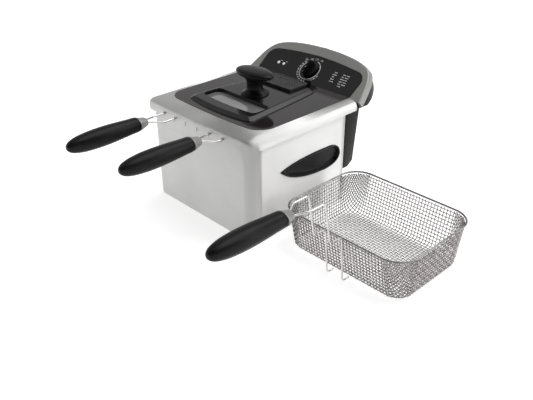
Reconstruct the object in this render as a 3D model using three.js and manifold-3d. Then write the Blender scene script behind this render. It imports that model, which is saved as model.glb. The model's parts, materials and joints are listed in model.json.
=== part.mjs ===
// Deep fryer with two fitted baskets, a removable control head and a third, loose basket.
// Millimetres. +Z up, +Y towards the control head, the baskets' grips point along -Y.
// The origin is on the standing surface, under the centre of the housing.
import * as THREE from "three";
import { mergeVertices } from "three/addons/utils/BufferGeometryUtils.js";
import Module from "manifold-3d";

const wasm = await Module();
wasm.setup();

// ---- driving dimensions -------------------------------------------------
const GAP = 0.3; // clearance between pieces that touch
const SHEET = 1.2; // steel sheet of housing and lid

const HOUSING = { halfWidth: 132.5, halfDepth: 117, radius: 22.5, bottom: 4, top: 176 };
const PAN = { underside: 2.8, thickness: 1.2, lip: 12, panelInset: 45, panelDrop: 0.8 };
const FOOT = { radius: 10, height: 2.5, inset: 30 };

const POT = { halfWidth: 124.5, halfDepth: 113, radius: 24, bottom: 18, sheet: 1 };
const FLANGE = { halfWidth: 133.5, halfDepth: 119.5, underside: HOUSING.top + GAP, top: 177.3 };

const GRIP_POCKET = { tipY: -51, backY: 89, sill: 1.4, depth: 5.6 };

const LID = { halfWidth: 137.5, front: -127.7, back: 127.5, radius: 22, backRadius: 2, bow: 3 };
const LID_Z = { bottom: 173, top: 191 };
const NOTCH = { offsets: [15.5, 44.5, 75.5], width: 7, top: 182.4 };
const INSERT = { halfWidth: 119, front: -92, radius: 34, underside: 187.9, top: 191.2 };
const NECK_SLOT = { halfWidth: 42, top: 182.5 }; // way through the lid's rear edge for the element neck
const PLATFORM = { front: -79, back: 105, halfFront: 80, halfBack: 60, top: 197.5 };
const WINDOW = { halfWidth: 66, front: -55, back: -12, ledge: 4 };
const VENT = { halfWidth: 39, front: 60, back: 107, height: 4.7, rim: 5, frame: 5, slots: 7 };
const LINER = { halfWidth: 131, halfDepth: 118.5, radius: 18, underside: 183, thickness: 1 };
const GASKET = { halfWidth: 131, halfDepth: 118, radius: 18, wall: 4 };
const HANDLE = { y: 13, baseRadius: 25, neckRadius: 14, stemTop: 229, capTop: 242 };
const CAP = { halfWidth: 41, halfDepth: 23 };

const PANEL_SLOPE = THREE.MathUtils.degToRad(36.8);
const PANEL_EDGE = { y: 127.5, z: 187 }; // where the panel's plane meets the lid
const KNOB = { s: 32, radius: 16.5, base: 4.5, height: 15.5, barWidth: 8, barLength: 33 };
const LAMP = { xs: [-78.6, -65], s: 28, radius: 3 };
const BEZEL_DEPTH = 14;

const REAR = { halfWidth: 119, front: 120.3, bottom: 55, top: 172, wall: 2.5 };
const INLET = { halfWidth: 24, bottom: 78, top: 102 };
const RESET = { x: 60, z: 124, radius: 4 };

const ELEMENT = { radius: 3.2, z: 23.5, riserX: 25, riserY: 106.5 };
const BRACKET = { halfWidth: 36, underside: 178.8, thickness: 2 };

const WIRE = 1.5; // radius of the baskets' frame wire
const WIRE_OFFSET = 15.5; // each handle has one wire either side of its middle
const STEP = { rise: 10, out: 31, bend: 45, height: 81.5 }; // the handle wire's draining step
const NECK_LENGTH = 17; // from the wire's neck to the grip
const GRIP = { length: 128, radius: 15.2 };
const MESH = 1.6; // thickness of the woven mesh
const SMALL = { halfWidth: 57, length: 146, radius: 26, height: 67, draftX: 3, draftY: 8 };
const LARGE = { halfWidth: 121, length: 192, radius: 38, height: 73.5, draftX: 4, draftY: 12 };
// Where the handle's bar ends and its neck starts, from the rim's front; the grip's tilt in degrees.
const SMALL_HANDLE = { barEnd: -92, neckY: -115, neckZ: 85.8, tilt: 0.5 };
const LARGE_HANDLE = { barEnd: -77, neckY: -96, neckZ: 79.1, tilt: -0.5 };
const SMALL_AT = { x: 60, leftRimFront: -61, rightRimFront: -46 };
const BAR_Z = FLANGE.top + GAP + WIRE; // height of the small baskets' bars, resting on the pot
const LARGE_AT = { x: 281, rimFront: -88, rim: 77 };

// ---- materials ------------------------------------------------------------
const finish = (color, roughness, metalness = 0) =>
  new THREE.MeshStandardMaterial({ color, roughness, metalness });
const STEEL = finish(0xc4c3c0, 0.35, 1);
const POT_STEEL = finish(0x9c9c9a, 0.4, 1);
const SILVER = finish(0x9a9a96, 0.45, 0.6);
const CHROME = finish(0xd6d2d0, 0.15, 1);
const BLACK = finish(0x17171a, 0.45);
const GLOSS_BLACK = finish(0x1b181b, 0.12);
const GLASS = finish(0x9aa09c, 0.08);
const RUBBER = finish(0x26282a, 0.8);
const LAMP_RED = finish(0xd9c8c8, 0.2);
const FELT = finish(0x60605c, 0.95);
const ELEMENT_STEEL = finish(0x4d4a48, 0.5, 0.8);

// ---- solids ---------------------------------------------------------------
// A closed geometry as a manifold-3d solid.
function toSolid(geometry) {
  const bare = geometry.clone();
  bare.deleteAttribute("normal");
  bare.deleteAttribute("uv");
  const merged = mergeVertices(bare, 1e-4);
  return new wasm.Manifold(
    new wasm.Mesh({
      numProp: 3,
      vertProperties: merged.attributes.position.array,
      triVerts: new Uint32Array(merged.index.array),
    }),
  );
}

function toGeometry(solid) {
  const mesh = solid.getMesh();
  const geometry = new THREE.BufferGeometry();
  geometry.setAttribute("position", new THREE.BufferAttribute(new Float32Array(mesh.vertProperties), 3));
  geometry.setIndex(new THREE.BufferAttribute(new Uint32Array(mesh.triVerts), 1));
  return geometry;
}

const cut = (geometry, ...tools) =>
  toGeometry(tools.reduce((rest, tool) => rest.subtract(toSolid(tool)), toSolid(geometry)));
const join = (geometry, ...others) =>
  toGeometry(others.reduce((sum, other) => sum.add(toSolid(other)), toSolid(geometry)));
const common = (a, b) => toGeometry(toSolid(a).intersect(toSolid(b)));

// A box between two corners.
function box([x0, y0, z0], [x1, y1, z1]) {
  const geometry = new THREE.BoxGeometry(x1 - x0, y1 - y0, z1 - z0);
  return geometry.translate((x0 + x1) / 2, (y0 + y1) / 2, (z0 + z1) / 2);
}

// An upright cylinder from z0 to z1.
function rod(x, y, z0, z1, radius, sides = 16) {
  const geometry = new THREE.CylinderGeometry(radius, radius, z1 - z0, sides);
  return geometry.rotateX(Math.PI / 2).translate(x, y, (z0 + z1) / 2);
}

// A solid turned about the z axis from [radius, z] pairs, from the bottom up.
function turned(profile, sides = 24) {
  const points = profile.map(([radius, z]) => new THREE.Vector2(radius, z));
  return new THREE.LatheGeometry(points, sides).rotateX(Math.PI / 2);
}

function arc(x, y, radius, from, to, steps) {
  return Array.from({ length: steps + 1 }, (_, i) => {
    const angle = from + ((to - from) * i) / steps;
    return new THREE.Vector2(x + radius * Math.cos(angle), y + radius * Math.sin(angle));
  });
}

// A rounded plan outline, anticlockwise. Its front edge may bow outwards in the middle.
function plan({ halfWidth, front, back, radius, backRadius = radius, bow = 0, steps = 4 }) {
  const quarter = Math.PI / 2;
  const x = halfWidth - radius;
  const xb = halfWidth - backRadius;
  const y = front + bow + radius;
  const bowed = bow
    ? [-0.5, 0, 0.5].map((t) => new THREE.Vector2(x * t, front + bow * t * t))
    : [];
  return [
    ...bowed,
    ...arc(x, y, radius, -quarter, 0, steps),
    ...arc(xb, back - backRadius, backRadius, 0, quarter, steps),
    ...arc(-xb, back - backRadius, backRadius, quarter, 2 * quarter, steps),
    ...arc(-x, y, radius, 2 * quarter, 3 * quarter, steps),
  ];
}

// A solid through level rings of equal point counts. A tube's last ring joins its first.
function loft(rings, tube = false) {
  const count = rings[0].points.length;
  const position = rings.flatMap(({ points, z }) => points.flatMap((p) => [p.x, p.y, z]));
  const index = [];
  const bands = tube ? rings.length : rings.length - 1;
  for (let i = 0; i < bands; i++) {
    const low = i * count;
    const high = ((i + 1) % rings.length) * count;
    for (let j = 0; j < count; j++) {
      const next = (j + 1) % count;
      index.push(low + j, low + next, high + next, low + j, high + next, high + j);
    }
  }
  if (!tube) {
    const top = (rings.length - 1) * count;
    for (const [a, b, c] of THREE.ShapeUtils.triangulateShape(rings[0].points, []))
      index.push(a, c, b);
    for (const [a, b, c] of THREE.ShapeUtils.triangulateShape(rings.at(-1).points, []))
      index.push(top + a, top + b, top + c);
  }
  const geometry = new THREE.BufferGeometry();
  geometry.setAttribute("position", new THREE.Float32BufferAttribute(position, 3));
  geometry.setIndex(index);
  return geometry;
}

// Rings of one plan, drawn in by [inset in x, inset in y, height] steps.
function rings(base, steps) {
  return steps.map(([insetX, insetY, z]) => ({
    z,
    points: plan({
      ...base,
      halfWidth: base.halfWidth - insetX,
      front: base.front + insetY,
      back: base.back - (base.openBack ? 0 : insetY),
      radius: Math.max(base.radius - (insetX + insetY) / 2, 2),
      backRadius: base.backRadius,
    }),
  }));
}

// A plate with a given outline, from z0 to z1.
function plate(points, z0, z1, holes = []) {
  const shape = new THREE.Shape(points);
  shape.holes = holes.map((hole) => new THREE.Path(hole));
  return new THREE.ExtrudeGeometry(shape, { depth: z1 - z0, bevelEnabled: false }).translate(0, 0, z0);
}

// A side profile of [y, z] points, extruded along x from x0 to x1.
function sideProfile(points, x0, x1) {
  const shape = new THREE.Shape(points.map(([y, z]) => new THREE.Vector2(y, z)));
  const geometry = new THREE.ExtrudeGeometry(shape, { depth: x1 - x0, bevelEnabled: false });
  const turn = new THREE.Matrix4().makeBasis(
    new THREE.Vector3(0, 1, 0),
    new THREE.Vector3(0, 0, 1),
    new THREE.Vector3(1, 0, 0),
  );
  return geometry.applyMatrix4(turn).translate(x0, 0, 0);
}

// A convex outline of [y, z] points, anticlockwise, drawn in by a distance.
function drawnIn(points, distance) {
  const lines = points.map(([y, z], i) => {
    const [y2, z2] = points[(i + 1) % points.length];
    const length = Math.hypot(y2 - y, z2 - z);
    const normal = [-(z2 - z) / length, (y2 - y) / length];
    return { normal, offset: normal[0] * y + normal[1] * z + distance };
  });
  return lines.map((line, i) => {
    const before = lines.at(i - 1);
    const det = before.normal[0] * line.normal[1] - before.normal[1] * line.normal[0];
    return [
      (before.offset * line.normal[1] - line.offset * before.normal[1]) / det,
      (line.offset * before.normal[0] - before.offset * line.normal[0]) / det,
    ];
  });
}

// A wire's centre line: straight runs between corners, with a round bend at each.
class BentPath extends THREE.Curve {
  constructor(corners, bend) {
    super();
    const points = corners.map((c) => new THREE.Vector3(...c));
    this.stations = [points[0]];
    for (let i = 1; i < points.length - 1; i++) {
      const [before, corner, after] = points.slice(i - 1, i + 2);
      const reach = (end) => Math.min(bend, corner.distanceTo(end) * 0.45);
      const start = corner.clone().lerp(before, reach(before) / corner.distanceTo(before));
      const end = corner.clone().lerp(after, reach(after) / corner.distanceTo(after));
      this.stations.push(...new THREE.QuadraticBezierCurve3(start, corner, end).getPoints(3));
    }
    this.stations.push(points.at(-1));
  }
  getPoint(t) {
    const place = t * (this.stations.length - 1);
    const i = Math.min(Math.floor(place + 1e-6), this.stations.length - 2);
    return this.stations[i].clone().lerp(this.stations[i + 1], place - i);
  }
  // One extrusion step falls on each station.
  getPointAt(u) {
    return this.getPoint(u);
  }
  getTangentAt(u) {
    const i = Math.round(u * (this.stations.length - 1));
    const before = this.stations[Math.max(i - 1, 0)];
    const after = this.stations[Math.min(i + 1, this.stations.length - 1)];
    return after.clone().sub(before).normalize();
  }
}

function wire(corners, radius, bend, sides = 6) {
  const path = new BentPath(corners, bend);
  const section = new THREE.Shape(arc(0, 0, radius, 0, 2 * Math.PI, sides).slice(0, sides));
  const steps = path.stations.length - 1;
  return new THREE.ExtrudeGeometry(section, { steps, extrudePath: path, bevelEnabled: false });
}

// ---- assembly ---------------------------------------------------------------
const fryer = new THREE.Group();

function add(name, geometry, material, parent = fryer) {
  const mesh = new THREE.Mesh(geometry, material);
  mesh.name = name;
  parent.add(mesh);
  return mesh;
}

const SIDES = [["left", -1], ["right", 1]];

// ---- housing ------------------------------------------------------------------
const housingPlan = {
  halfWidth: HOUSING.halfWidth,
  front: -HOUSING.halfDepth,
  back: HOUSING.halfDepth,
  radius: HOUSING.radius,
  steps: 5,
};

// The side grip's leaf outline in y and z: a tip in front, a round end at the back.
function leaf(margin) {
  const { tipY, backY } = GRIP_POCKET;
  const shape = new THREE.Shape();
  shape.moveTo(tipY - 2 * margin, 116);
  shape.bezierCurveTo(-40, 101 - margin, -5, 88 - margin, 40, 86.5 - margin);
  shape.bezierCurveTo(74, 84 - margin, backY + margin, 90, backY + margin, 104);
  shape.bezierCurveTo(backY + margin, 118, 76, 123 + margin, 58, 123 + margin);
  shape.bezierCurveTo(20, 124 + margin, -28, 124 + margin, tipY - 2 * margin, 116);
  return shape.getPoints(5).slice(0, -1).map((p) => [p.x, p.y]);
}

function housingShell() {
  const wall = rings(housingPlan, [
    [0, 0, HOUSING.bottom],
    [0, 0, HOUSING.top],
    [SHEET, SHEET, HOUSING.top],
    [SHEET, SHEET, HOUSING.bottom],
  ]);
  const window = sideProfile(leaf(GAP), -HOUSING.halfWidth - 5, HOUSING.halfWidth + 5);
  return cut(loft(wall, true), window);
}

// The base pan. Its middle is pressed down a little between the feet, to stiffen it.
function basePan() {
  const inset = SHEET + GAP;
  const { underside, thickness, lip, panelInset, panelDrop } = PAN;
  return loft(
    rings(housingPlan, [
      [panelInset, panelInset, underside - panelDrop],
      [panelInset - 1, panelInset - 1, underside],
      [inset + 1, inset + 1, underside],
      [inset, inset, underside + 1.4],
      [inset, inset, underside + lip],
      [inset + thickness, inset + thickness, underside + lip],
      [inset + thickness, inset + thickness, underside + thickness],
    ]),
  );
}

// A side grip: a thin rim outside the shell and a shallow finger pocket through it.
function sideGrip() {
  const { sill, depth } = GRIP_POCKET;
  const outside = HOUSING.halfWidth + GAP;
  const rim = sideProfile(leaf(2.5), outside, outside + sill);
  const body = sideProfile(leaf(0), outside - depth, outside + sill / 2);
  const pocket = sideProfile(leaf(-2), outside - depth + 1.2, outside + sill + 1);
  return cut(join(rim, body), pocket);
}

function addHousing() {
  add("housing_shell", housingShell(), STEEL);
  add("base_pan", basePan(), POT_STEEL);
  const { radius, height, inset } = FOOT;
  const foot = turned([[0, 0], [radius - 1, 0], [radius, 1], [radius, height], [0, height]], 20);
  const [footX, footY] = [HOUSING.halfWidth - inset, HOUSING.halfDepth - inset];
  for (const [side, x] of SIDES)
    for (const [end, y] of [["front", -1], ["rear", 1]])
      add(`foot_${end}_${side}`, foot, RUBBER).position.set(x * footX, y * footY, 0);
  for (const [side, x] of SIDES) {
    const grip = sideGrip();
    add(`side_grip_${side}`, x > 0 ? grip : mirrored(grip), BLACK);
    const rail = box([-7, 117 + GAP, 70], [7, REAR.front - GAP, 164]);
    add(`head_rail_${side}`, rail, STEEL).position.x = x * 82;
  }
}

// The same solid mirrored in x, with its faces turned back outwards.
function mirrored(geometry) {
  return toGeometry(toSolid(geometry).mirror([1, 0, 0]));
}

// ---- oil pot ----------------------------------------------------------------------
const potPlan = {
  halfWidth: POT.halfWidth,
  front: -POT.halfDepth,
  back: POT.halfDepth,
  radius: POT.radius,
};
const flangeX = POT.halfWidth - FLANGE.halfWidth;
const flangeY = POT.halfDepth - FLANGE.halfDepth;

function oilPot() {
  const { bottom, sheet } = POT;
  return loft(
    rings(potPlan, [
      [11, 9, bottom],
      [5, 4, bottom + 2.5],
      [2.5, 1.5, bottom + 10],
      [0, 0, FLANGE.underside],
      [flangeX, flangeY, FLANGE.underside],
      [flangeX, flangeY, FLANGE.top],
      [sheet, sheet, FLANGE.top],
      [2.5 + sheet, 1.5 + sheet, bottom + 10],
      [5 + sheet, 4 + sheet, bottom + 3.4],
      [11 + sheet, 9 + sheet, bottom + sheet],
    ]),
  );
}

// ---- lid ----------------------------------------------------------------------------
const lidPlan = { ...LID, openBack: true };
// The lid's cross-section: the sides roll over in a wide shoulder, the front ends in a ridge.
const LID_SECTION = [
  [0, 0, LID_Z.bottom],
  [0, 0, 179.5],
  [1.4, 0.3, 184],
  [4.2, 0.9, 187.2],
  [8.5, 3, 188.9],
  [13, 15, 190.2],
  [18, 30, LID_Z.top],
];
function insertOutline(inset, front = INSERT.front, back = LID.back + 20) {
  return plan({
    halfWidth: INSERT.halfWidth - inset,
    front: front + inset,
    back,
    radius: INSERT.radius - inset,
    backRadius: 1,
    bow: LID.bow,
  });
}

function arch(x) {
  const { width, top } = NOTCH;
  const shape = new THREE.Shape([
    new THREE.Vector2(x - width / 2, LID_Z.bottom - 2),
    new THREE.Vector2(x + width / 2, LID_Z.bottom - 2),
    ...arc(x, top - width / 2, width / 2, 0, Math.PI, 5),
  ]);
  return new THREE.ExtrudeGeometry(shape, { depth: 30, bevelEnabled: false })
    .rotateX(Math.PI / 2)
    .translate(0, LID.front + 22, 0);
}

function lidShell() {
  const inside = { ...lidPlan };
  inside.halfWidth -= SHEET;
  inside.front += SHEET;
  inside.back -= SHEET;
  const cavity = LID_SECTION.map(([x, y, z], i) => [x, y, i ? z - SHEET : z - 1]);
  const notches = NOTCH.offsets.flatMap((x) => [arch(-x), arch(x)]);
  const neck = box(
    [-NECK_SLOT.halfWidth, LID.back - 8, LID_Z.bottom - 1],
    [NECK_SLOT.halfWidth, LID.back + 5, NECK_SLOT.top],
  );
  const opening = plate(insertOutline(-GAP), INSERT.underside - GAP, LID_Z.top + 5);
  return cut(loft(rings(lidPlan, LID_SECTION)), loft(rings(inside, cavity)), opening, neck, ...notches);
}

// A window outline: the front edge bows with the lid, the corners are round.
function windowOutline(margin) {
  return plan({
    halfWidth: WINDOW.halfWidth + margin,
    front: WINDOW.front - margin,
    back: WINDOW.back + margin,
    radius: 10 + margin,
    bow: LID.bow,
    steps: 3,
  });
}

function ventOutline(inset) {
  return plan({
    halfWidth: VENT.halfWidth - inset,
    front: VENT.front + inset,
    back: VENT.back - inset,
    radius: 3,
    steps: 2,
  });
}

// The raised platform around window and vent: widest at the front, narrower at the back.
function platformOutline() {
  const { front, back, halfFront, halfBack } = PLATFORM;
  const shape = new THREE.Shape();
  shape.moveTo(-halfFront + 12, front + 6);
  shape.quadraticCurveTo(0, front - 6, halfFront - 12, front + 6);
  shape.quadraticCurveTo(halfFront + 1, front + 8, halfFront - 1, front + 24);
  shape.lineTo(halfBack, back - 5);
  shape.quadraticCurveTo(halfBack, back, halfBack - 5, back);
  shape.lineTo(5 - halfBack, back);
  shape.quadraticCurveTo(-halfBack, back, -halfBack, back - 5);
  shape.lineTo(1 - halfFront, front + 24);
  shape.quadraticCurveTo(-halfFront - 1, front + 8, -halfFront + 12, front + 6);
  return shape.getPoints(4).slice(0, -1);
}

function lidInsert() {
  const outline = insertOutline(0, INSERT.front, LID.back);
  const screwHole = arc(0, HANDLE.y, 3, 0, 2 * Math.PI, 12).slice(0, 12);
  const holes = [windowOutline(WINDOW.ledge), ventOutline(VENT.rim), screwHole];
  return plate(outline, INSERT.underside, INSERT.top, holes);
}

function windowFrame() {
  const screwHole = arc(0, HANDLE.y, 3, 0, 2 * Math.PI, 12).slice(0, 12);
  const holes = [windowOutline(0), ventOutline(VENT.rim), screwHole];
  return plate(platformOutline(), INSERT.top + GAP, PLATFORM.top, holes);
}

function ventGrille() {
  const low = PLATFORM.top + GAP;
  const { halfWidth, front, back, height, slots, frame } = VENT;
  const pitch = (back - front - 2 * frame) / slots;
  const halfSlot = halfWidth - frame;
  const slot = (_, i) => {
    const start = front + frame + pitch * (i + 0.3);
    return box([-halfSlot, start, low - 1], [halfSlot, start + pitch * 0.4, low + height + 1]);
  };
  return cut(plate(ventOutline(0), low, low + height), ...Array.from({ length: slots }, slot));
}

function lidLiner() {
  const { halfWidth, halfDepth, radius, underside, thickness } = LINER;
  const outline = plan({ halfWidth, front: -halfDepth, back: halfDepth, radius });
  const holes = [windowOutline(WINDOW.ledge), ventOutline(VENT.rim)];
  return plate(outline, underside, underside + thickness, holes);
}

function lidGasket() {
  const { halfWidth, halfDepth, radius, wall } = GASKET;
  const low = FLANGE.top + GAP;
  const high = LINER.underside - GAP;
  const ring = loft(
    rings({ halfWidth, front: -halfDepth, back: halfDepth, radius, steps: 4 }, [
      [0, 0, low],
      [0, 0, high],
      [wall, wall, high],
      [wall, wall, low],
    ]),
    true,
  );
  const slots = NOTCH.offsets.flatMap((x) =>
    [-x, x].map((at) => box([at - 3, -125, low - 1], [at + 3, -110, BAR_Z + WIRE + GAP])),
  );
  const neck = box([-NECK_SLOT.halfWidth, 110, low - 1], [NECK_SLOT.halfWidth, 125, high - 0.8]);
  return cut(ring, neck, ...slots);
}

function handleStem() {
  const { baseRadius, neckRadius, stemTop, y } = HANDLE;
  const low = PLATFORM.top + GAP;
  const stem = turned([
    [0, low],
    [baseRadius, low],
    [baseRadius - 1, low + 2.5],
    [neckRadius + 4.5, low + 6],
    [neckRadius, low + 12],
    [neckRadius, stemTop - 8],
    [neckRadius + 3, stemTop - 2],
    [neckRadius + 5, stemTop],
    [0, stemTop],
  ]);
  return cut(stem, rod(0, 0, low - 1, low + 19, 3)).translate(0, y, 0);
}

// The oval cap, longer across the lid than it is deep.
function handleCap() {
  const { stemTop, capTop, y } = HANDLE;
  const { halfWidth, halfDepth } = CAP;
  const low = stemTop + GAP;
  const half = halfDepth;
  const profile = [
    [0, low],
    [half - 6, low],
    [half - 1.4, low + 2.4],
    [half, low + 5.4],
    [half - 1.6, low + 8.4],
    [half - 7, low + 11.2],
    [half - 15, capTop - 0.3],
    [0, capTop],
  ];
  return turned(profile, 28).scale(halfWidth / halfDepth, 1, 1).translate(0, y, 0);
}

function handleScrew() {
  const low = LINER.underside + LINER.thickness + GAP;
  const neck = low + 2.4;
  const tip = PLATFORM.top + 18;
  const profile = [[0, low], [5, low], [5, neck], [2.6, neck], [2.6, tip], [0, tip]];
  return turned(profile, 14).translate(0, HANDLE.y, 0);
}

function lidCatch() {
  const low = INSERT.top + GAP;
  const block = box([26, 109, low], [37, 117, low + 13]);
  const groove = (x) => box([x - 0.7, 107, low + 4], [x + 0.7, 110, low + 11]);
  return cut(block, groove(29.7), groove(33.3));
}

function addLid() {
  add("lid_shell", lidShell(), STEEL);
  add("lid_insert", lidInsert(), GLOSS_BLACK);
  add("window_frame", windowFrame(), BLACK);
  const pane = plate(windowOutline(WINDOW.ledge - GAP), INSERT.underside + 0.4, INSERT.top - 0.2);
  add("window_glass", pane, GLASS);
  add("vent_grille", ventGrille(), BLACK);
  add("filter_pad", plate(ventOutline(VENT.rim + GAP), INSERT.underside - 3, PLATFORM.top - 1), FELT);
  add("lid_liner", lidLiner(), POT_STEEL);
  add("lid_gasket", lidGasket(), RUBBER);
  add("handle_stem", handleStem(), BLACK);
  add("handle_cap", handleCap(), BLACK);
  add("handle_screw", handleScrew(), CHROME);
  add("lid_catch", lidCatch(), BLACK);
}

// ---- control head -------------------------------------------------------------------------
// The panel's plane: x across, y up the slope (s), z out of the panel.
const panelPlane = new THREE.Group();
panelPlane.position.set(0, PANEL_EDGE.y, PANEL_EDGE.z);
panelPlane.rotation.x = PANEL_SLOPE;
panelPlane.updateMatrix();

const inFrame = (geometry) => geometry.clone().applyMatrix4(panelPlane.matrix);

// A symmetrical outline in the panel's plane, from its right-hand half.
function mirroredOutline(half, steps) {
  const curve = new THREE.SplineCurve(half.map(([x, s]) => new THREE.Vector2(x, s)));
  const right = curve.getPoints(steps);
  const left = right.slice(0, -1).reverse().map((p) => new THREE.Vector2(-p.x, p.y));
  return [...right, ...left];
}

function bezelOutline(grow) {
  const g = grow;
  const side = [[139 + g, 1], [134.5 + g, 24], [126.5 + g, 50], [114 + g, 67 + g]];
  const crown = [[88, 78 + g], [48, 84.5 + g], [0, 87 + g]];
  return mirroredOutline([...side, ...crown], 14);
}

function panelOutline(grow, foot) {
  const g = grow;
  const side = [[115.5 + g, foot], [117 + g, 24], [116.5 + g, 43], [107 + g, 54.5 + g]];
  const crown = [[82, 59.5 + g], [42, 63.5 + g], [0, 65.5 + g]];
  return mirroredOutline([...side, ...crown], 12);
}

function headBezel() {
  const outside = loft([
    { points: bezelOutline(2), z: -BEZEL_DEPTH },
    { points: bezelOutline(0.6), z: -4 },
    { points: bezelOutline(-0.4), z: -1 },
    { points: bezelOutline(-2), z: 0 },
  ]);
  const hollow = plate(bezelOutline(-5), -BEZEL_DEPTH - 5, -4);
  return cut(outside, hollow, plate(panelOutline(0, -15), -BEZEL_DEPTH - 5, 5));
}

function controlPanel() {
  const hole = (x, s, radius) => arc(x, s, radius, 0, 2 * Math.PI, 16).slice(0, 16);
  const lamps = LAMP.xs.map((x) => hole(x, LAMP.s, LAMP.radius + GAP));
  return plate(panelOutline(-GAP, 1), -3.4, -0.4, [hole(0, KNOB.s, 3.6), ...lamps]);
}

// The casing's side profile in y and z, from the bezel's underside to the rear box.
const CASING_PROFILE = [[132, 172.4], [160, 172.4], [176, 180], [189, 192], [197, 207], [200, 223.2]];

function headCasing() {
  const within = inFrame(plate(bezelOutline(-1), -60, -BEZEL_DEPTH - GAP));
  const outside = common(sideProfile(CASING_PROFILE, -134, 134), within);
  const inner = inFrame(plate(bezelOutline(-4), -60, 0));
  const hollow = common(sideProfile(openedUp(drawnIn(CASING_PROFILE, 2.5)), -131, 131), inner);
  const way = box([-REAR.halfWidth + 4, REAR.front + 16, 170], [REAR.halfWidth - 4, 156, 178]);
  return cut(outside, hollow, way);
}

// The casing's inside, run up through its open top.
function openedUp([front, ...rest]) {
  const last = rest.at(-1);
  return [front, ...rest, [last[0] - 6, last[1] + 12], [front[0] - 8, front[1] + 12]];
}

const REAR_PROFILE = [
  [REAR.front, REAR.bottom],
  [133, REAR.bottom],
  [146, 64],
  [158, REAR.top],
  [REAR.front, REAR.top],
];

// The cover closes the rear box's sloping back.
function coverProfile(near, far) {
  const [low, high] = [REAR_PROFILE[2], REAR_PROFILE[3]];
  const slope = (high[0] - low[0]) / (high[1] - low[1]);
  const at = (z, inset) => [low[0] + (z - low[1]) * slope - inset, z];
  return [at(68, near), at(68, far), at(168, far), at(168, near)];
}

function rearBox() {
  const { halfWidth, front, top, wall } = REAR;
  const inner = halfWidth - wall;
  const hollow = sideProfile(drawnIn(REAR_PROFILE, wall), -inner, inner);
  const wayUp = box([-halfWidth + 8, front + 6, top - 5], [halfWidth - 8, 152, top + 5]);
  const back = sideProfile(coverProfile(6, -4), -inner, inner);
  return cut(sideProfile(REAR_PROFILE, -halfWidth, halfWidth), hollow, wayUp, back);
}

// A hole of any height through the cover at a point of x and z.
const coverHole = (x, z, radius, sides) =>
  rod(0, 0, -20, 20, radius, sides).rotateX(Math.PI / 2).translate(x, 150, z);

function rearCover() {
  const { halfWidth, bottom, top } = INLET;
  const edge = REAR.halfWidth - REAR.wall - GAP;
  const outline = coverProfile(3.2, 0.4).map(([y, z], i) => [y, i === 0 || i === 1 ? z + GAP : z - GAP]);
  const socket = box([-halfWidth - GAP, 130, bottom - GAP], [halfWidth + GAP, 170, top + GAP]);
  const reset = coverHole(RESET.x, RESET.z, RESET.radius + GAP, 14);
  const screws = screwSpots().map(([x, z]) => coverHole(x, z, 2, 10));
  const vents = [0, 1, 2, 3, 4, 5].map((i) => box([-40, 130, 136 + 4.5 * i], [40, 170, 138 + 4.5 * i]));
  return cut(sideProfile(outline, -edge, edge), socket, reset, ...screws, ...vents);
}

const screwSpots = () => [[-REAR.halfWidth + 14, 116], [REAR.halfWidth - 14, 116]];
const coverFaceAt = (z) => 146 + ((z - 64) * 12) / (REAR.top - 64) - 0.4;

function coverScrew([x, z]) {
  const face = coverFaceAt(z) + GAP + 0.2;
  return turned([[0, 0], [4, 0], [4, 1], [2.5, 2.2], [0, 2.2]], 14)
    .rotateX(-Math.PI / 2)
    .translate(x, face, z);
}

function powerInlet() {
  const { halfWidth, bottom, top } = INLET;
  const face = coverFaceAt(top) + 1.5;
  const body = box([-halfWidth, 128, bottom], [halfWidth, face, top]);
  return cut(body, box([-halfWidth + 3, face - 8, bottom + 3], [halfWidth - 3, face + 5, top - 3]));
}

function knob() {
  const { radius, base, height, barWidth, barLength } = KNOB;
  const disc = turned([[0, 0.5], [radius, 0.5], [radius, base - 2], [radius - 1.5, base], [0, base]], 28);
  const grip = new THREE.Shape([
    new THREE.Vector2(-barLength / 2 + 1, base - 2),
    new THREE.Vector2(barLength / 2 - 1, base - 2),
    new THREE.Vector2(barLength / 2 - 3, height - 2),
    new THREE.Vector2(barLength / 2 - 6, height),
    new THREE.Vector2(-barLength / 2 + 6, height),
    new THREE.Vector2(-barLength / 2 + 3, height - 2),
  ]);
  const bar = new THREE.ExtrudeGeometry(grip, { depth: barWidth, bevelEnabled: false })
    .translate(0, 0, -barWidth / 2)
    .rotateX(Math.PI / 2)
    .rotateZ(Math.PI / 2);
  return cut(join(disc, bar), rod(0, 0, -1, 9, 3.1, 12));
}

function heatingElement() {
  const { radius, z, riserX, riserY } = ELEMENT;
  const top = BRACKET.underside - GAP - radius;
  const half = [
    [riserX, riserY, top],
    [riserX, riserY, z],
    [riserX, 92, z],
    [104, 92, z],
    [104, -92, z],
    [70, -92, z],
    [70, 66, z],
    [36, 66, z],
    [36, -92, z],
  ];
  const other = half.map(([x, y, h]) => [-x, y, h]).reverse();
  return wire([...half, ...other], radius, 14, 8);
}

function elementBracket() {
  const { halfWidth, underside, thickness } = BRACKET;
  const tongue = box([-halfWidth, 103, underside], [halfWidth, 146, underside + thickness]);
  const clip = box([-halfWidth, 101.6, 120], [halfWidth, 103.2, underside + thickness]);
  return join(tongue, clip);
}

function sensorBulb() {
  return wire([[0, 108, BRACKET.underside - 1], [0, 108, 44], [0, 100, 38]], 2, 8, 8);
}

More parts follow.
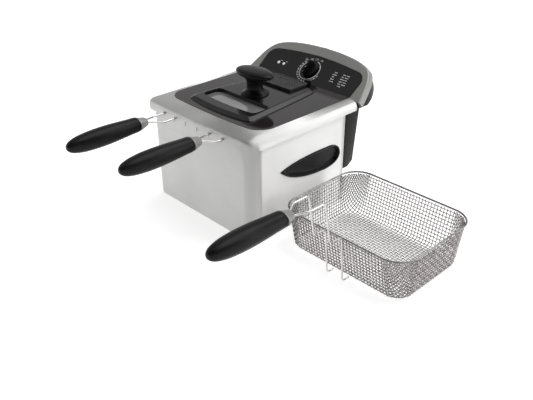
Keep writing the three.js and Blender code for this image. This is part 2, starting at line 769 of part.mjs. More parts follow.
function addControlHead() {
  fryer.add(panelPlane);
  add("head_bezel", headBezel(), SILVER, panelPlane);
  add("control_panel", controlPanel(), BLACK, panelPlane);
  add("head_casing", headCasing(), BLACK);
  add("rear_box", rearBox(), BLACK);
  add("rear_cover", rearCover(), BLACK);
  screwSpots().forEach((spot, i) => add(`rear_cover_screw_${i + 1}`, coverScrew(spot), CHROME));
  add("power_inlet", powerInlet(), GLOSS_BLACK);
  const r = LAMP.radius;
  const lens = turned([[0, -3.6], [r, -3.6], [r, 0.2], [r - 1, 0.8], [0, 0.8]], 16);
  add("lamp_power", lens, LAMP_RED, panelPlane).position.set(LAMP.xs[0], LAMP.s, 0);
  add("lamp_ready", lens, LAMP_RED, panelPlane).position.set(LAMP.xs[1], LAMP.s, 0);
  const body = join(box([-14, -11, -24], [14, 11, -7]), rod(0, 0, -8, -4, 6, 16));
  add("thermostat_body", body, POT_STEEL, panelPlane).position.set(0, KNOB.s, 0);
  add("thermal_cutout", cutoutSwitch(), GLOSS_BLACK);
  add("terminal_block", box([-95, 126, 66], [-55, 138, 84]), GLOSS_BLACK);
  add("microswitch", microswitch(), GLOSS_BLACK);
  add("element_bracket", elementBracket(), STEEL);
  add("heating_element", heatingElement(), ELEMENT_STEEL);
  add("sensor_bulb", sensorBulb(), CHROME);
}

// The overheat cut-out stands behind the reset button, in line with it.
const cutoutSwitch = () => box([RESET.x - 10, 124, RESET.z - 10], [RESET.x + 10, 140, RESET.z + 10]);

// The switch that stops the fryer working without its head in place, with its plunger.
function microswitch() {
  return join(box([-80, 125.5, 140], [-56, 137, 154]), box([-70, 124, 144], [-66, 126, 150]));
}

function addKnob() {
  add("thermostat_knob", knob(), BLACK, panelPlane).position.set(0, KNOB.s, 0);
  const shaft = rod(0, KNOB.s, -3.7, 8, 2.8, 12);
  add("thermostat_shaft", shaft, CHROME, panelPlane);
}

function addResetButton() {
  const { x, z, radius } = RESET;
  const button = turned([[0, 0], [radius, 0], [radius, 12.4], [radius - 1, 13.4], [0, 13.4]], 16)
    .rotateX(-Math.PI / 2)
    .translate(x, 142.5, z);
  add("reset_button", button, LAMP_RED);
}

// ---- baskets -----------------------------------------------------------------------------------
function basketPlan(size, inset = 0) {
  return {
    halfWidth: size.halfWidth - inset,
    front: inset,
    back: size.length - inset,
    radius: size.radius - inset,
    steps: 4,
  };
}

// A basket of wire mesh: an open tray with sloping walls and a round bottom edge.
function basketMesh(size) {
  const { height, draftX, draftY } = size;
  return loft(
    rings(basketPlan(size, WIRE + GAP), [
      [draftX + 8, draftY + 8, -height],
      [draftX + 1, draftY + 1, 6 - height],
      [0, 0, 0],
      [MESH, MESH, 0],
      [draftX + 1 + MESH, draftY + 1 + MESH, 6 - height],
      [draftX + 8 + MESH, draftY + 8 + MESH, MESH - height],
    ]),
  );
}

// The rim wire lies on the mesh's top edge.
function basketRim(size) {
  const turn = (i) => (i * Math.PI) / 3;
  const steps = [0, 1, 2, 3, 4, 5].map((i) => [
    WIRE * (1 - Math.cos(turn(i))),
    WIRE * (1 - Math.cos(turn(i))),
    WIRE + GAP + WIRE * Math.sin(turn(i)),
  ]);
  return loft(rings(basketPlan(size), steps), true);
}

// One bent wire: from a foot under the basket up the front wall, out over the step,
// along the bar, through the grip and back the same way on the other side.
function handleWire(size, { barEnd, neckY, neckZ, tilt }) {
  const { height, draftY } = size;
  const x = WIRE_OFFSET;
  const { rise, out, bend, height: barZ } = STEP;
  const under = -height - WIRE - GAP;
  const half = [
    [x, draftY + 6, under],
    [x, draftY - 9, under],
    [x, -5, rise - 2],
    [x, -out, rise],
    [x, -bend, barZ],
    [x, barEnd, barZ],
    [5, neckY + 2, neckZ],
    [5, neckY - 22, neckZ - 22 * Math.tan(THREE.MathUtils.degToRad(tilt))],
  ];
  const other = half.map(([px, py, pz]) => [-px, py, pz]).reverse();
  return wire([...half, ...other], WIRE, 6);
}

// The flat slot that takes the wire's end, through the ferrule and into the grip.
const wireSlot = (from, to) => box([-6.9, from, -2.1], [6.9, to, 2.1]);

// The tapered ferrule between wire and grip, wider than it is high. It lies along -Y from its front face.
function ferrule() {
  const back = NECK_LENGTH - GAP;
  const cone = turned([[0, 0], [6, 0], [7.2, 1.5], [10.8, back], [0, back]], 20)
    .scale(1.3, 1, 1)
    .rotateX(Math.PI / 2);
  return cut(cone, wireSlot(-NECK_LENGTH - 5, 5));
}

// The cigar-shaped grip, slimmer at both ends than in its middle.
function grip() {
  const { length, radius } = GRIP;
  const body = turned(
    [
      [0, 0],
      [radius - 4, 0],
      [radius - 3.2, 2],
      [radius - 2.4, 16],
      [radius - 0.8, 44],
      [radius, 68],
      [radius - 0.5, 88],
      [radius - 2.2, 106],
      [radius - 5, 118],
      [radius - 9.5, 125.5],
      [0, length],
    ],
    24,
  ).rotateX(Math.PI / 2);
  return cut(body, wireSlot(-9, 1)).translate(0, -NECK_LENGTH, 0);
}

// A basket with its wires and grip. Its own frame has the rim's front edge at the origin.
function addBasket(name, size, place, handle) {
  const basket = new THREE.Group();
  basket.position.set(...place);
  fryer.add(basket);
  add(`${name}_mesh`, basketMesh(size), CHROME, basket);
  add(`${name}_rim`, basketRim(size), CHROME, basket);
  add(`${name}_wire`, handleWire(size, handle), CHROME, basket);
  const leaning = new THREE.Group();
  leaning.position.set(0, handle.neckY, handle.neckZ);
  leaning.rotation.x = THREE.MathUtils.degToRad(handle.tilt);
  basket.add(leaning);
  add(`${name}_ferrule`, ferrule(), SILVER, leaning);
  add(`${name}_grip`, grip(), BLACK, leaning);
}

function addBaskets() {
  const smallRim = BAR_Z - STEP.height;
  const { x, leftRimFront, rightRimFront } = SMALL_AT;
  // The left basket sits against the pot's front wall, the right one further back.
  addBasket("left_basket", SMALL, [-x, leftRimFront, smallRim], SMALL_HANDLE);
  addBasket("right_basket", SMALL, [x, rightRimFront, smallRim], SMALL_HANDLE);
  addBasket("large_basket", LARGE, [LARGE_AT.x, LARGE_AT.rimFront, LARGE_AT.rim], LARGE_HANDLE);
}

addHousing();
add("oil_pot", oilPot(), POT_STEEL);
addLid();
addControlHead();
addKnob();
addResetButton();
addBaskets();

export default fryer;
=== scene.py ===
"""The looks of a deep fryer with a loose basket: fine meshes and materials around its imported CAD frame.

Blender units are metres. +Z is up, +Y points to the control head and the baskets' grips point along -Y.
"""

import json
import math

import bmesh
import bpy
import numpy as np
from mathutils import Matrix, Vector


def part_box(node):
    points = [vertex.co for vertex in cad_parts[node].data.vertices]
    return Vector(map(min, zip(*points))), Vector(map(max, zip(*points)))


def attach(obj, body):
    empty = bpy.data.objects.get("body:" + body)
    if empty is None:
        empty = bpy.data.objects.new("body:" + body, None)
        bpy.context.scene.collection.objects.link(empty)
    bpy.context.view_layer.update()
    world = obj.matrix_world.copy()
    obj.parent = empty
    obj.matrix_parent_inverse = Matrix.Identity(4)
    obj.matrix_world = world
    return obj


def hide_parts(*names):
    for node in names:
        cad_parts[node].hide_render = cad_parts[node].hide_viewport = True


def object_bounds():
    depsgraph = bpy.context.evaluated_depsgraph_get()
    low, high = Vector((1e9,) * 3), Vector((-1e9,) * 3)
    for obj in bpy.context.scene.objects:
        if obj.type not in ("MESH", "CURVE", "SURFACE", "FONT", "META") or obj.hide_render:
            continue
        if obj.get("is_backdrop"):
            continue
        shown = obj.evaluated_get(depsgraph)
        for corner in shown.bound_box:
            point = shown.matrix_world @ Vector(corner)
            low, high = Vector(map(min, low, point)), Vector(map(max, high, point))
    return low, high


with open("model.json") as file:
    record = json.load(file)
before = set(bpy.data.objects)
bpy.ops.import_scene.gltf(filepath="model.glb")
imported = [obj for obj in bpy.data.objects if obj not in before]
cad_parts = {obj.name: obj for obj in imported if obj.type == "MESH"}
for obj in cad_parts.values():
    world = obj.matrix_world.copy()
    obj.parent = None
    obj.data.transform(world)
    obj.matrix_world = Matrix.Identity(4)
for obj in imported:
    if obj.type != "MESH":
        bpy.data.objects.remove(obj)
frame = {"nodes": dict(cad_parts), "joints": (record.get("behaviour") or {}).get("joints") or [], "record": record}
cad_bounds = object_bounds()

MM = 0.001
RECORD = frame["record"]
BODY_OF = {node: body for body, nodes in RECORD["behaviour"]["bodies"].items() for node in nodes}
SLOT_OF = {part["node"]: part["material_slot"] for part in RECORD["subparts"]}
SIDES = {"left": -1, "right": 1}

# ---- driving dimensions -----------------------------------------------------------
SHEET = 1.2 * MM  # steel sheet of housing and lid
GAP = 0.3 * MM  # clearance between pieces that touch
HOUSING_RADIUS = 22.5 * MM
LID_RADIUS = 22 * MM
LID_BOW = 3 * MM  # how far the lid's front edge bows out in the middle
WIRE = 1.5 * MM  # radius of the baskets' frame wire
MESH_WIRE = 0.7 * MM  # radius of the woven wires
MESH_PITCH = 5.9 * MM

# The lid's cross-section from skirt to top: inset in x, inset in y, share of the height.
LID_SECTION = [
    (0, 0, 0), (0, 0, 0.36), (1.4, 0.3, 0.61), (4.2, 0.9, 0.79),
    (8.5, 3, 0.883), (13, 15, 0.956), (18, 30, 1),
]
NOTCHES = {"offsets": (15.5, 44.5, 75.5), "width": 7.6, "height": 10}
INSERT_RADIUS = 34 * MM
NECK_SLOT = {"half_width": 42, "height": 9.5}
WINDOW = {"half_width": 66, "front": -55, "back": -12, "radius": 10}
VENT_RIM = 5 * MM
VENT_PITCH = 4 * MM
VENT_SHARE = 0.52  # each hole's part of the pitch
HANDLE_Y = 13 * MM

PANEL_KNOB_S = 32  # the knob's distance up the panel from its lower edge
# The knob's grip bar in rising sections: height, half length, half width.
KNOB_BAR = [
    (3, 15.6, 3.0), (7, 15.4, 2.9), (11.5, 14.6, 2.6), (14.0, 13.2, 2.2), (15.1, 11.6, 1.7), (15.5, 10.0, 1.1),
]
LAMPS = {"lamp_power": -78.6, "lamp_ready": -65}
LAMP_S = 28
BEZEL_HALF = [(139, 1), (134.5, 24), (126.5, 50), (114, 67), (88, 78), (48, 84.5), (0, 87)]
PANEL_HALF = [(115.5, 1), (117, 24), (116.5, 43), (107, 54.5), (82, 59.5), (42, 63.5), (0, 65.5)]

WIRE_OFFSET = 15.5
STEP = {"rise": 10, "out": 31, "bend": 45, "height": 81.5}
SMALL = {"radius": 26, "draft": (3, 8), "bar_end": -92, "neck": (-115, 85.8), "tilt": 0.5}
LARGE = {"radius": 38, "draft": (4, 12), "bar_end": -77, "neck": (-96, 79.1), "tilt": -0.5}
BASKETS = {"left_basket": SMALL, "right_basket": SMALL, "large_basket": LARGE}
BASKET_FOOT_ROUND = 7 * MM  # radius between a basket's floor and walls
FERRULE_LENGTH = 16.7
GRIP_START = 17
GRIP_LENGTH = 128


# ---- plain geometry ---------------------------------------------------------------
def spaced(start, end, steps):
    return [start + (end - start) * i / steps for i in range(steps + 1)]


def arc(x, y, radius, start, end, steps):
    return [(x + radius * math.cos(a), y + radius * math.sin(a)) for a in spaced(start, end, steps)]


def circle(x, y, radius, steps=32):
    return arc(x, y, radius, 0, 2 * math.pi, steps)[:-1]


def in_metres(points):
    return [(a * MM, b * MM) for a, b in points]


def rounded_plan(half_width, front, back, radius, back_radius=None, bow=0.0, steps=12, x=0.0):
    """A rounded rectangle seen from above, anticlockwise. Its front edge may bow out in the middle."""
    quarter = math.pi / 2
    rear = radius if back_radius is None else back_radius
    inner, inner_rear = half_width - radius, half_width - rear
    low = front + bow + radius
    edge = [(inner * t, front + bow * t * t) for t in spaced(-0.9, 0.9, 18)] if bow else []
    points = [
        *edge,
        *arc(inner, low, radius, -quarter, 0, steps),
        *arc(inner_rear, back - rear, rear, 0, quarter, steps),
        *arc(-inner_rear, back - rear, rear, quarter, 2 * quarter, steps),
        *arc(-inner, low, radius, 2 * quarter, 3 * quarter, steps),
    ]
    return [(px + x, py) for px, py in points]


def between(p, q, start, end, place):
    return (p * (end - place) + q * (place - start)) / (end - start)


def catmull_rom(points, steps):
    """A smooth line of any dimension through the points, spaced so that it never loops."""
    points = [np.array(p, float) for p in points]
    ends = [2 * points[0] - points[1], *points, 2 * points[-1] - points[-2]]
    line = []
    for a, b, c, d in zip(ends, ends[1:], ends[2:], ends[3:]):
        t0 = 0.0
        t1 = t0 + math.sqrt(np.linalg.norm(b - a))
        t2 = t1 + math.sqrt(np.linalg.norm(c - b))
        t3 = t2 + math.sqrt(np.linalg.norm(d - c))
        for u in spaced(t1, t2, steps)[:-1]:
            ab, bc, cd = between(a, b, t0, t1, u), between(b, c, t1, t2, u), between(c, d, t2, t3, u)
            near, far = between(ab, bc, t0, t2, u), between(bc, cd, t1, t3, u)
            line.append(tuple(between(near, far, t1, t2, u)))
    return [*line, tuple(points[-1])]


def mirrored(half, steps, grow=0.0):
    """A symmetrical outline in millimetres from its right-hand half, as an open line in metres."""
    grown = [(x + grow if x else 0, s + (grow if i > 2 else 0)) for i, (x, s) in enumerate(half)]
    right = catmull_rom(grown, steps)
    return [(x * MM, s * MM) for x, s in right + [(-x, s) for x, s in right[-2::-1]]]


def new_object(name, mesh):
    piece = bpy.data.objects.new(name, mesh)
    bpy.context.scene.collection.objects.link(piece)
    return piece


def evaluated(piece):
    """A new mesh with the piece's modifiers or curve settings worked in."""
    bpy.context.view_layer.update()
    return bpy.data.meshes.new_from_object(piece.evaluated_get(bpy.context.evaluated_depsgraph_get()))


def smooth(piece, angle=35.0):
    piece.data.shade_smooth()
    piece.data.set_sharp_from_angle(angle=math.radians(angle))
    return piece


def from_bmesh(name, bm, angle=35.0):
    bmesh.ops.remove_doubles(bm, verts=bm.verts, dist=1e-6)
    bmesh.ops.recalc_face_normals(bm, faces=bm.faces)
    if bm.calc_volume(signed=True) < 0:
        bmesh.ops.reverse_faces(bm, faces=bm.faces)
    mesh = bpy.data.meshes.new(name)
    bm.to_mesh(mesh)
    bm.free()
    return smooth(new_object(name, mesh), angle)


def from_curve(name, drawn, shift, angle=35.0):
    """A mesh piece from a drawn curve or text, which is used up, moved by a shift."""
    mesh = evaluated(drawn)
    bpy.data.objects.remove(drawn)
    bm = bmesh.new()
    bm.from_mesh(mesh)
    bpy.data.meshes.remove(mesh)
    bmesh.ops.translate(bm, verts=bm.verts, vec=shift)
    return from_bmesh(name, bm, angle)


def skin(name, rings, closed_rows=True, tube=False, angle=35.0):
    """A surface through rows of 3-D points.

    closed_rows joins each row's ends, and tube joins the last row to the first.
    """
    bm = bmesh.new()
    rows = [[bm.verts.new(p) for p in ring] for ring in rings]
    bands = list(zip(rows, rows[1:] + rows[:1])) if tube else list(zip(rows, rows[1:]))
    for low, high in bands:
        last = len(low) if closed_rows else len(low) - 1
        for j in range(last):
            k = (j + 1) % len(low)
            bm.faces.new((low[j], low[k], high[k], high[j]))
    if closed_rows and not tube:
        bm.faces.new(rows[0][::-1])
        bm.faces.new(rows[-1])
    if tube and not closed_rows:
        bm.faces.new([row[0] for row in rows])
        bm.faces.new([row[-1] for row in rows][::-1])
    return from_bmesh(name, bm, angle)


def level(points, z):
    return [(x, y, z) for x, y in points]


def plate(name, outlines, low, high, edge=0.4 * MM, angle=40.0):
    """A flat plate between two heights, with rounded edges. Outlines after the first are holes."""
    curve = bpy.data.curves.new(name, "CURVE")
    curve.dimensions = "2D"
    curve.fill_mode = "BOTH"
    curve.extrude = (high - low) / 2 - edge
    curve.bevel_depth = edge
    curve.bevel_resolution = 2
    curve.offset = -edge
    for i, outline in enumerate(outlines):
        points = outline if i == 0 else outline[::-1]
        spline = curve.splines.new("POLY")
        spline.points.add(len(points) - 1)
        for point, (x, y) in zip(spline.points, points):
            point.co = (x, y, 0, 1)
        spline.use_cyclic_u = True
    return from_curve(name, new_object(name + "_curve", curve), (0, 0, (low + high) / 2), angle)


def turned(name, profile, steps=64, scale=(1, 1), matrix=None, power=2.0, angle=35.0):
    """A solid turned about the z axis from (radius, z) pairs that start and end on the axis."""
    rings = []
    for radius, z in profile[1:-1]:
        ring = []
        for a in spaced(0, 2 * math.pi, steps)[:-1]:
            c, s = math.cos(a), math.sin(a)
            reach = radius / (abs(c) ** power + abs(s) ** power) ** (1 / power)
            ring.append((reach * c * scale[0], reach * s * scale[1], z))
        rings.append(ring)
    piece = skin(name, rings, angle=angle)
    if matrix is not None:
        piece.data.transform(matrix)
    return piece


def prism(name, outline, axis, low, high, bevel=0.0, segments=3, angle=35.0):
    """A solid extruded along an axis: 0 for x (outline in y, z) or 2 for z (outline in x, y)."""
    lift = (lambda a, b, c: (c, a, b)) if axis == 0 else (lambda a, b, c: (a, b, c))
    piece = skin(name, [[lift(a, b, c) for a, b in outline] for c in (low, high)], angle=angle)
    if bevel:
        bevelled(piece, bevel, segments)
    return piece


def block(name, low, high, bevel=0.0, segments=3):
    (x0, y0, z0), (x1, y1, z1) = low, high
    return prism(name, [(x0, y0), (x1, y0), (x1, y1), (x0, y1)], 2, z0, z1, bevel, segments)


def bevelled(piece, width, segments=3, angle=35.0):
    """Rounds the piece's sharp edges for good."""
    bm = bmesh.new()
    bm.from_mesh(piece.data)
    sharp = [e for e in bm.edges if len(e.link_faces) == 2 and e.calc_face_angle(0) > math.radians(angle)]
    bmesh.ops.bevel(bm, geom=sharp, offset=width, segments=segments, profile=0.5, affect="EDGES",
                    clamp_overlap=True)
    bm.to_mesh(piece.data)
    bm.free()
    return smooth(piece, angle)


def boolean(piece, tool, operation="DIFFERENCE", angle=35.0):
    """Cuts or joins the piece with a tool, which is used up."""
    modifier = piece.modifiers.new("boolean", "BOOLEAN")
    modifier.operation = operation
    modifier.object = tool
    modifier.solver = "EXACT"
    mesh = evaluated(piece)
    piece.modifiers.clear()
    old = piece.data
    piece.data = mesh
    mesh.name = old.name
    bpy.data.meshes.remove(old)
    bpy.data.objects.remove(tool)
    return smooth(piece, angle)


def weighted(piece):
    """Large flat faces keep their shading next to small rounded ones."""
    modifier = piece.modifiers.new("weighted_normals", "WEIGHTED_NORMAL")
    modifier.keep_sharp = True
    return piece


def joined(name, pieces):
    """One object from several, which are used up."""
    bm = bmesh.new()
    for piece in pieces:
        piece.data.transform(piece.matrix_world)
        bm.from_mesh(piece.data)
        bpy.data.objects.remove(piece)
    mesh = bpy.data.meshes.new(name)
    bm.to_mesh(mesh)
    bm.free()
    return smooth(new_object(name, mesh))


def bent_path(corners, bend, steps=8):
    """A wire's centre line: straight runs between corners, with a round bend at each."""
    points = [Vector(c) for c in corners]
    line = [points[0]]
    for before, here, after in zip(points, points[1:], points[2:]):
        start = here.lerp(before, min(bend / (before - here).length, 0.45))
        end = here.lerp(after, min(bend / (after - here).length, 0.45))
        line += [(1 - t) ** 2 * start + 2 * t * (1 - t) * here + t * t * end for t in spaced(0, 1, steps)]
    return [*line, points[-1]]


def tube_rings(line, radius, sides, closed=False):
    """Rings round a centre line, carried along it without twist."""
    count = len(line)
    rings = []
    normal = None
    for i, point in enumerate(line):
        before = line[i - 1] if closed or i else point
        after = line[(i + 1) % count] if closed or i + 1 < count else point
        tangent = (after - before).normalized()
        if normal is None:
            normal = tangent.orthogonal()
        normal = (normal - tangent * normal.dot(tangent)).normalized()
        other = tangent.cross(normal)
        rings.append([
            tuple(point + radius * (math.cos(a) * normal + math.sin(a) * other))
            for a in spaced(0, 2 * math.pi, sides)[:-1]
        ])
    return rings


def tube(name, line, radius, sides=12, closed=False):
    return skin(name, tube_rings(line, radius, sides, closed), tube=closed, angle=60)


# ---- materials ----------------------------------------------------------------------
class Finish:
    """A Principled material with colour, roughness and relief from noise in the object's own space."""

    def __init__(self, name, colour, roughness, metallic=0.0, **sockets):
        self.material = bpy.data.materials.new(name)
        self.material.use_nodes = True
        self.tree = self.material.node_tree
        self.shader = self.tree.nodes["Principled BSDF"]
        self.coordinates = self.tree.nodes.new("ShaderNodeTexCoord")
        self.set("Base Color", (*colour, 1))
        self.set("Roughness", roughness)
        self.set("Metallic", metallic)
        for socket, value in sockets.items():
            self.set(socket.replace("_", " "), value)

    def set(self, socket, value):
        self.shader.inputs[socket].default_value = value

    def noise(self, scale, stretch=(1, 1, 1), detail=3.0, roughness=0.55):
        mapping = self.tree.nodes.new("ShaderNodeMapping")
        mapping.inputs["Scale"].default_value = stretch
        self.tree.links.new(self.coordinates.outputs["Object"], mapping.inputs["Vector"])
        field = self.tree.nodes.new("ShaderNodeTexNoise")
        field.inputs["Scale"].default_value = scale
        field.inputs["Detail"].default_value = detail
        field.inputs["Roughness"].default_value = roughness
        self.tree.links.new(mapping.outputs["Vector"], field.inputs["Vector"])
        return field.outputs["Fac"]

    def ranged(self, field, low, high, start=0.3, end=0.7):
        node = self.tree.nodes.new("ShaderNodeMapRange")
        node.inputs["From Min"].default_value = start
        node.inputs["From Max"].default_value = end
        node.inputs["To Min"].default_value = low
        node.inputs["To Max"].default_value = high
        self.tree.links.new(field, node.inputs["Value"])
        return node.outputs["Result"]

    def mixed(self, factor, first, second):
        """A value between two fields, by a third."""
        node = self.tree.nodes.new("ShaderNodeMix")
        self.tree.links.new(factor, node.inputs["Factor"])
        self.tree.links.new(first, node.inputs["A"])
        self.tree.links.new(second, node.inputs["B"])
        return node.outputs["Result"]

    def rough(self, field, low, high):
        self.tree.links.new(self.ranged(field, low, high), self.shader.inputs["Roughness"])
        return self

    def tint(self, field, first, second):
        node = self.tree.nodes.new("ShaderNodeMix")
        node.data_type = "RGBA"
        self.tree.links.new(self.ranged(field, 0, 1), node.inputs[0])
        node.inputs[6].default_value = (*first, 1)
        node.inputs[7].default_value = (*second, 1)
        self.tree.links.new(node.outputs[2], self.shader.inputs["Base Color"])
        return self

    def relief(self, field, strength, distance):
        node = self.tree.nodes.new("ShaderNodeBump")
        node.inputs["Strength"].default_value = strength
        node.inputs["Distance"].default_value = distance
        self.tree.links.new(field, node.inputs["Height"])
        self.tree.links.new(node.outputs["Normal"], self.shader.inputs["Normal"])
        return self

    def facing_up(self):
        """1 on level faces and 0 on upright ones."""
        split = self.tree.nodes.new("ShaderNodeSeparateXYZ")
        self.tree.links.new(self.coordinates.outputs["Normal"], split.inputs["Vector"])
        return self.ranged(split.outputs["Z"], 0, 1, 0.5, 0.8)


def brushed_steel():
    """Stainless sheet brushed level round the walls and from side to side on top."""
    finish = Finish("brushed_steel", (0.74, 0.74, 0.73), 0.54, 1.0, Anisotropic=0.94,
                    Anisotropic_Rotation=0.25)
    walls = finish.noise(1.0, (14, 14, 2600), detail=4)
    top = finish.noise(1.0, (16, 2400, 40), detail=4)
    grain = finish.mixed(finish.facing_up(), walls, top)
    cloud = finish.noise(9, detail=2)
    finish.tint(cloud, (0.71, 0.71, 0.70), (0.78, 0.78, 0.77))
    finish.rough(grain, 0.46, 0.60)
    finish.relief(grain, 0.10, 0.05 * MM)
    return finish.material


def pot_steel():
    """Drawn steel of the oil pot, semi-matt, with faint draw lines."""
    finish = Finish("pot_steel", (0.55, 0.55, 0.54), 0.36, 1.0)
    finish.tint(finish.noise(14, detail=3), (0.48, 0.48, 0.47), (0.60, 0.60, 0.585))
    grain = finish.noise(1.0, (500, 500, 60), detail=3)
    finish.rough(grain, 0.30, 0.46)
    return finish.relief(grain, 0.06, 0.05 * MM).material


def silver_plastic():
    """Metallic silver lacquer over a moulding, with a fine flake."""
    finish = Finish("silver_plastic", (0.18, 0.18, 0.17), 0.38, 0.5, Coat_Weight=0.2, Coat_Roughness=0.2)
    flake = finish.noise(5200, detail=1)
    finish.tint(flake, (0.27, 0.27, 0.256), (0.37, 0.37, 0.352))
    finish.rough(finish.noise(40, detail=3), 0.33, 0.45)
    return finish.relief(flake, 0.03, 0.02 * MM).material


def chromed_wire():
    """Bright plated wire, a little dulled where it has been handled."""
    finish = Finish("chromed_wire", (0.34, 0.32, 0.32), 0.2, 1.0)
    cloud = finish.noise(60, detail=3)
    finish.tint(cloud, (0.27, 0.25, 0.25), (0.42, 0.39, 0.39))
    finish.rough(cloud, 0.14, 0.30)
    return finish.relief(finish.noise(900), 0.04, 0.03 * MM).material


def black_plastic():
    """Satin black moulding with a fine spark-eroded grain."""
    finish = Finish("black_plastic", (0.008, 0.008, 0.0085), 0.3, Specular_IOR_Level=0.14)
    grain = finish.noise(2600, detail=2)
    finish.tint(finish.noise(30, detail=3), (0.006, 0.006, 0.0065), (0.010, 0.010, 0.0105))
    finish.rough(finish.noise(70, detail=4), 0.25, 0.35)
    return finish.relief(grain, 0.10, 0.05 * MM).material


def gloss_black():
    """Polished dark brown-black moulding with faint wipe marks."""
    finish = Finish("gloss_black", (0.022, 0.017, 0.018), 0.07)
    finish.tint(finish.noise(12, detail=2), (0.019, 0.015, 0.016), (0.026, 0.020, 0.021))
    finish.rough(finish.noise(28, (1, 3, 1), detail=5, roughness=0.7), 0.045, 0.12)
    return finish.relief(finish.noise(25, detail=1), 0.02, 0.4 * MM).material


def panel_black():
    """Smooth black moulding, less polished than the lid's insert."""
    finish = Finish("panel_black", (0.010, 0.009, 0.009), 0.16, Specular_IOR_Level=0.35)
    finish.tint(finish.noise(14, detail=2), (0.008, 0.007, 0.007), (0.012, 0.011, 0.011))
    finish.rough(finish.noise(30, detail=4), 0.12, 0.20)
    return finish.relief(finish.noise(1800), 0.03, 0.02 * MM).material


def grille_grey():
    """The vent's cover: the same moulding in a lighter grey."""
    finish = Finish("grille_grey", (0.04, 0.04, 0.041), 0.4, Specular_IOR_Level=0.3)
    finish.tint(finish.noise(40, detail=3), (0.033, 0.033, 0.034), (0.048, 0.048, 0.049))
    return finish.rough(finish.noise(90, detail=3), 0.34, 0.46).material


def bright_wire():
    """The handles' plated wire, in a lighter tone than the mesh's wire."""
    finish = Finish("bright_wire", (0.66, 0.63, 0.63), 0.2, 1.0)
    cloud = finish.noise(60, detail=3)
    finish.tint(cloud, (0.58, 0.55, 0.55), (0.74, 0.71, 0.71))
    return finish.rough(cloud, 0.14, 0.28).material


def rim_wire():
    """The baskets' rim: the same plated wire in a darker tone."""
    finish = Finish("rim_wire", (0.26, 0.25, 0.25), 0.24, 1.0)
    cloud = finish.noise(60, detail=3)
    finish.tint(cloud, (0.20, 0.19, 0.19), (0.32, 0.31, 0.31))
    return finish.rough(cloud, 0.18, 0.32).material


def window_glass():
    """Tinted toughened glass over the dark inside, with a light film of grease."""
    finish = Finish("window_glass", (0.19, 0.195, 0.19), 0.05, Specular_IOR_Level=1.0, IOR=1.9)
    finish.tint(finish.noise(18, detail=4), (0.23, 0.235, 0.23), (0.30, 0.305, 0.30))
    return finish.rough(finish.noise(40, detail=4), 0.03, 0.10).material


def rubber():
    finish = Finish("rubber", (0.03, 0.03, 0.032), 0.8)
    finish.tint(finish.noise(50), (0.022, 0.022, 0.024), (0.04, 0.04, 0.042))
    return finish.relief(finish.noise(1500), 0.2, 0.1 * MM).material


def lamp_lens():
    """Milky lens that lets a little light through."""
    finish = Finish("lamp_lens", (0.86, 0.82, 0.82), 0.18, Coat_Weight=0.6)
    finish.tint(finish.noise(400), (0.80, 0.75, 0.76), (0.92, 0.90, 0.90))
    finish.set("Emission Color", (1, 0.96, 0.97, 1))
    finish.set("Emission Strength", 0.25)
    return finish.rough(finish.noise(900), 0.12, 0.25).material


def filter_felt():
    finish = Finish("filter_felt", (0.3, 0.3, 0.28), 0.95, Sheen_Weight=0.4)
    fibres = finish.noise(1800, (1, 1, 0.4), detail=5)
    finish.tint(fibres, (0.2, 0.2, 0.19), (0.4, 0.4, 0.37))
    return finish.relief(fibres, 0.6, 0.3 * MM).material


def element_steel():
    """Heater sheath, browned by heat."""
    finish = Finish("element_steel", (0.16, 0.15, 0.14), 0.45, 1.0)
    finish.tint(finish.noise(45, detail=4), (0.11, 0.10, 0.095), (0.26, 0.235, 0.21))
    return finish.rough(finish.noise(300), 0.35, 0.6).material


def switch_plastic():
    finish = Finish("switch_plastic", (0.06, 0.06, 0.06), 0.5)
    finish.tint(finish.noise(80), (0.045, 0.045, 0.045), (0.08, 0.08, 0.08))
    return finish.relief(finish.noise(2200), 0.1, 0.05 * MM).material


def print_white():
    """Screen-printed ink, slightly uneven."""
    finish = Finish("print_white", (0.8, 0.8, 0.8), 0.5)
    finish.tint(finish.noise(900, detail=3), (0.68, 0.68, 0.69), (0.86, 0.86, 0.86))
    return finish.relief(finish.noise(3000), 0.1, 0.02 * MM).material


MAKERS = (brushed_steel, pot_steel, silver_plastic, chromed_wire, bright_wire, rim_wire, black_plastic,
          gloss_black, panel_black, grille_grey, window_glass, rubber, lamp_lens, filter_felt,
          element_steel, switch_plastic, print_white)
FINISH = {make.__name__: make() for make in MAKERS}


def fit(piece, finish, *nodes, body=None, slot=None):
    """Gives a piece its finish and body, and lets it stand for CAD nodes."""
    piece.data.materials.clear()
    piece.data.materials.append(FINISH[finish])
    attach(piece, body or BODY_OF[nodes[0]])
    if nodes:
        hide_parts(*nodes)
    slot = slot or finish


def extent(node):
    """A node's lowest and highest corners as plain tuples, in metres."""
    low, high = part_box(node)
    return tuple(low), tuple(high)


# ---- housing --------------------------------------------------------------------------
def leaf(margin, steps=14):
    """The side grip's outline in y and z: a tip in front, a round end at the back."""
    m = margin
    spans = [
        [(-51 - 2 * m, 116), (-40, 101 - m), (-5, 88 - m), (40, 86.5 - m)],
        [(40, 86.5 - m), (74, 84 - m), (89 + m, 90), (89 + m, 104)],
        [(89 + m, 104), (89 + m, 118), (76, 123 + m), (58, 123 + m)],
        [(58, 123 + m), (20, 124 + m), (-28, 124 + m), (-51 - 2 * m, 116)],
    ]
    outline = []
    for a, b, c, d in spans:
        for i in range(steps):
            t = i / steps
            weights = ((1 - t) ** 3, 3 * t * (1 - t) ** 2, 3 * t * t * (1 - t), t ** 3)
            outline.append(tuple(sum(w * p[k] for w, p in zip(weights, (a, b, c, d))) * MM for k in (0, 1)))
    return outline


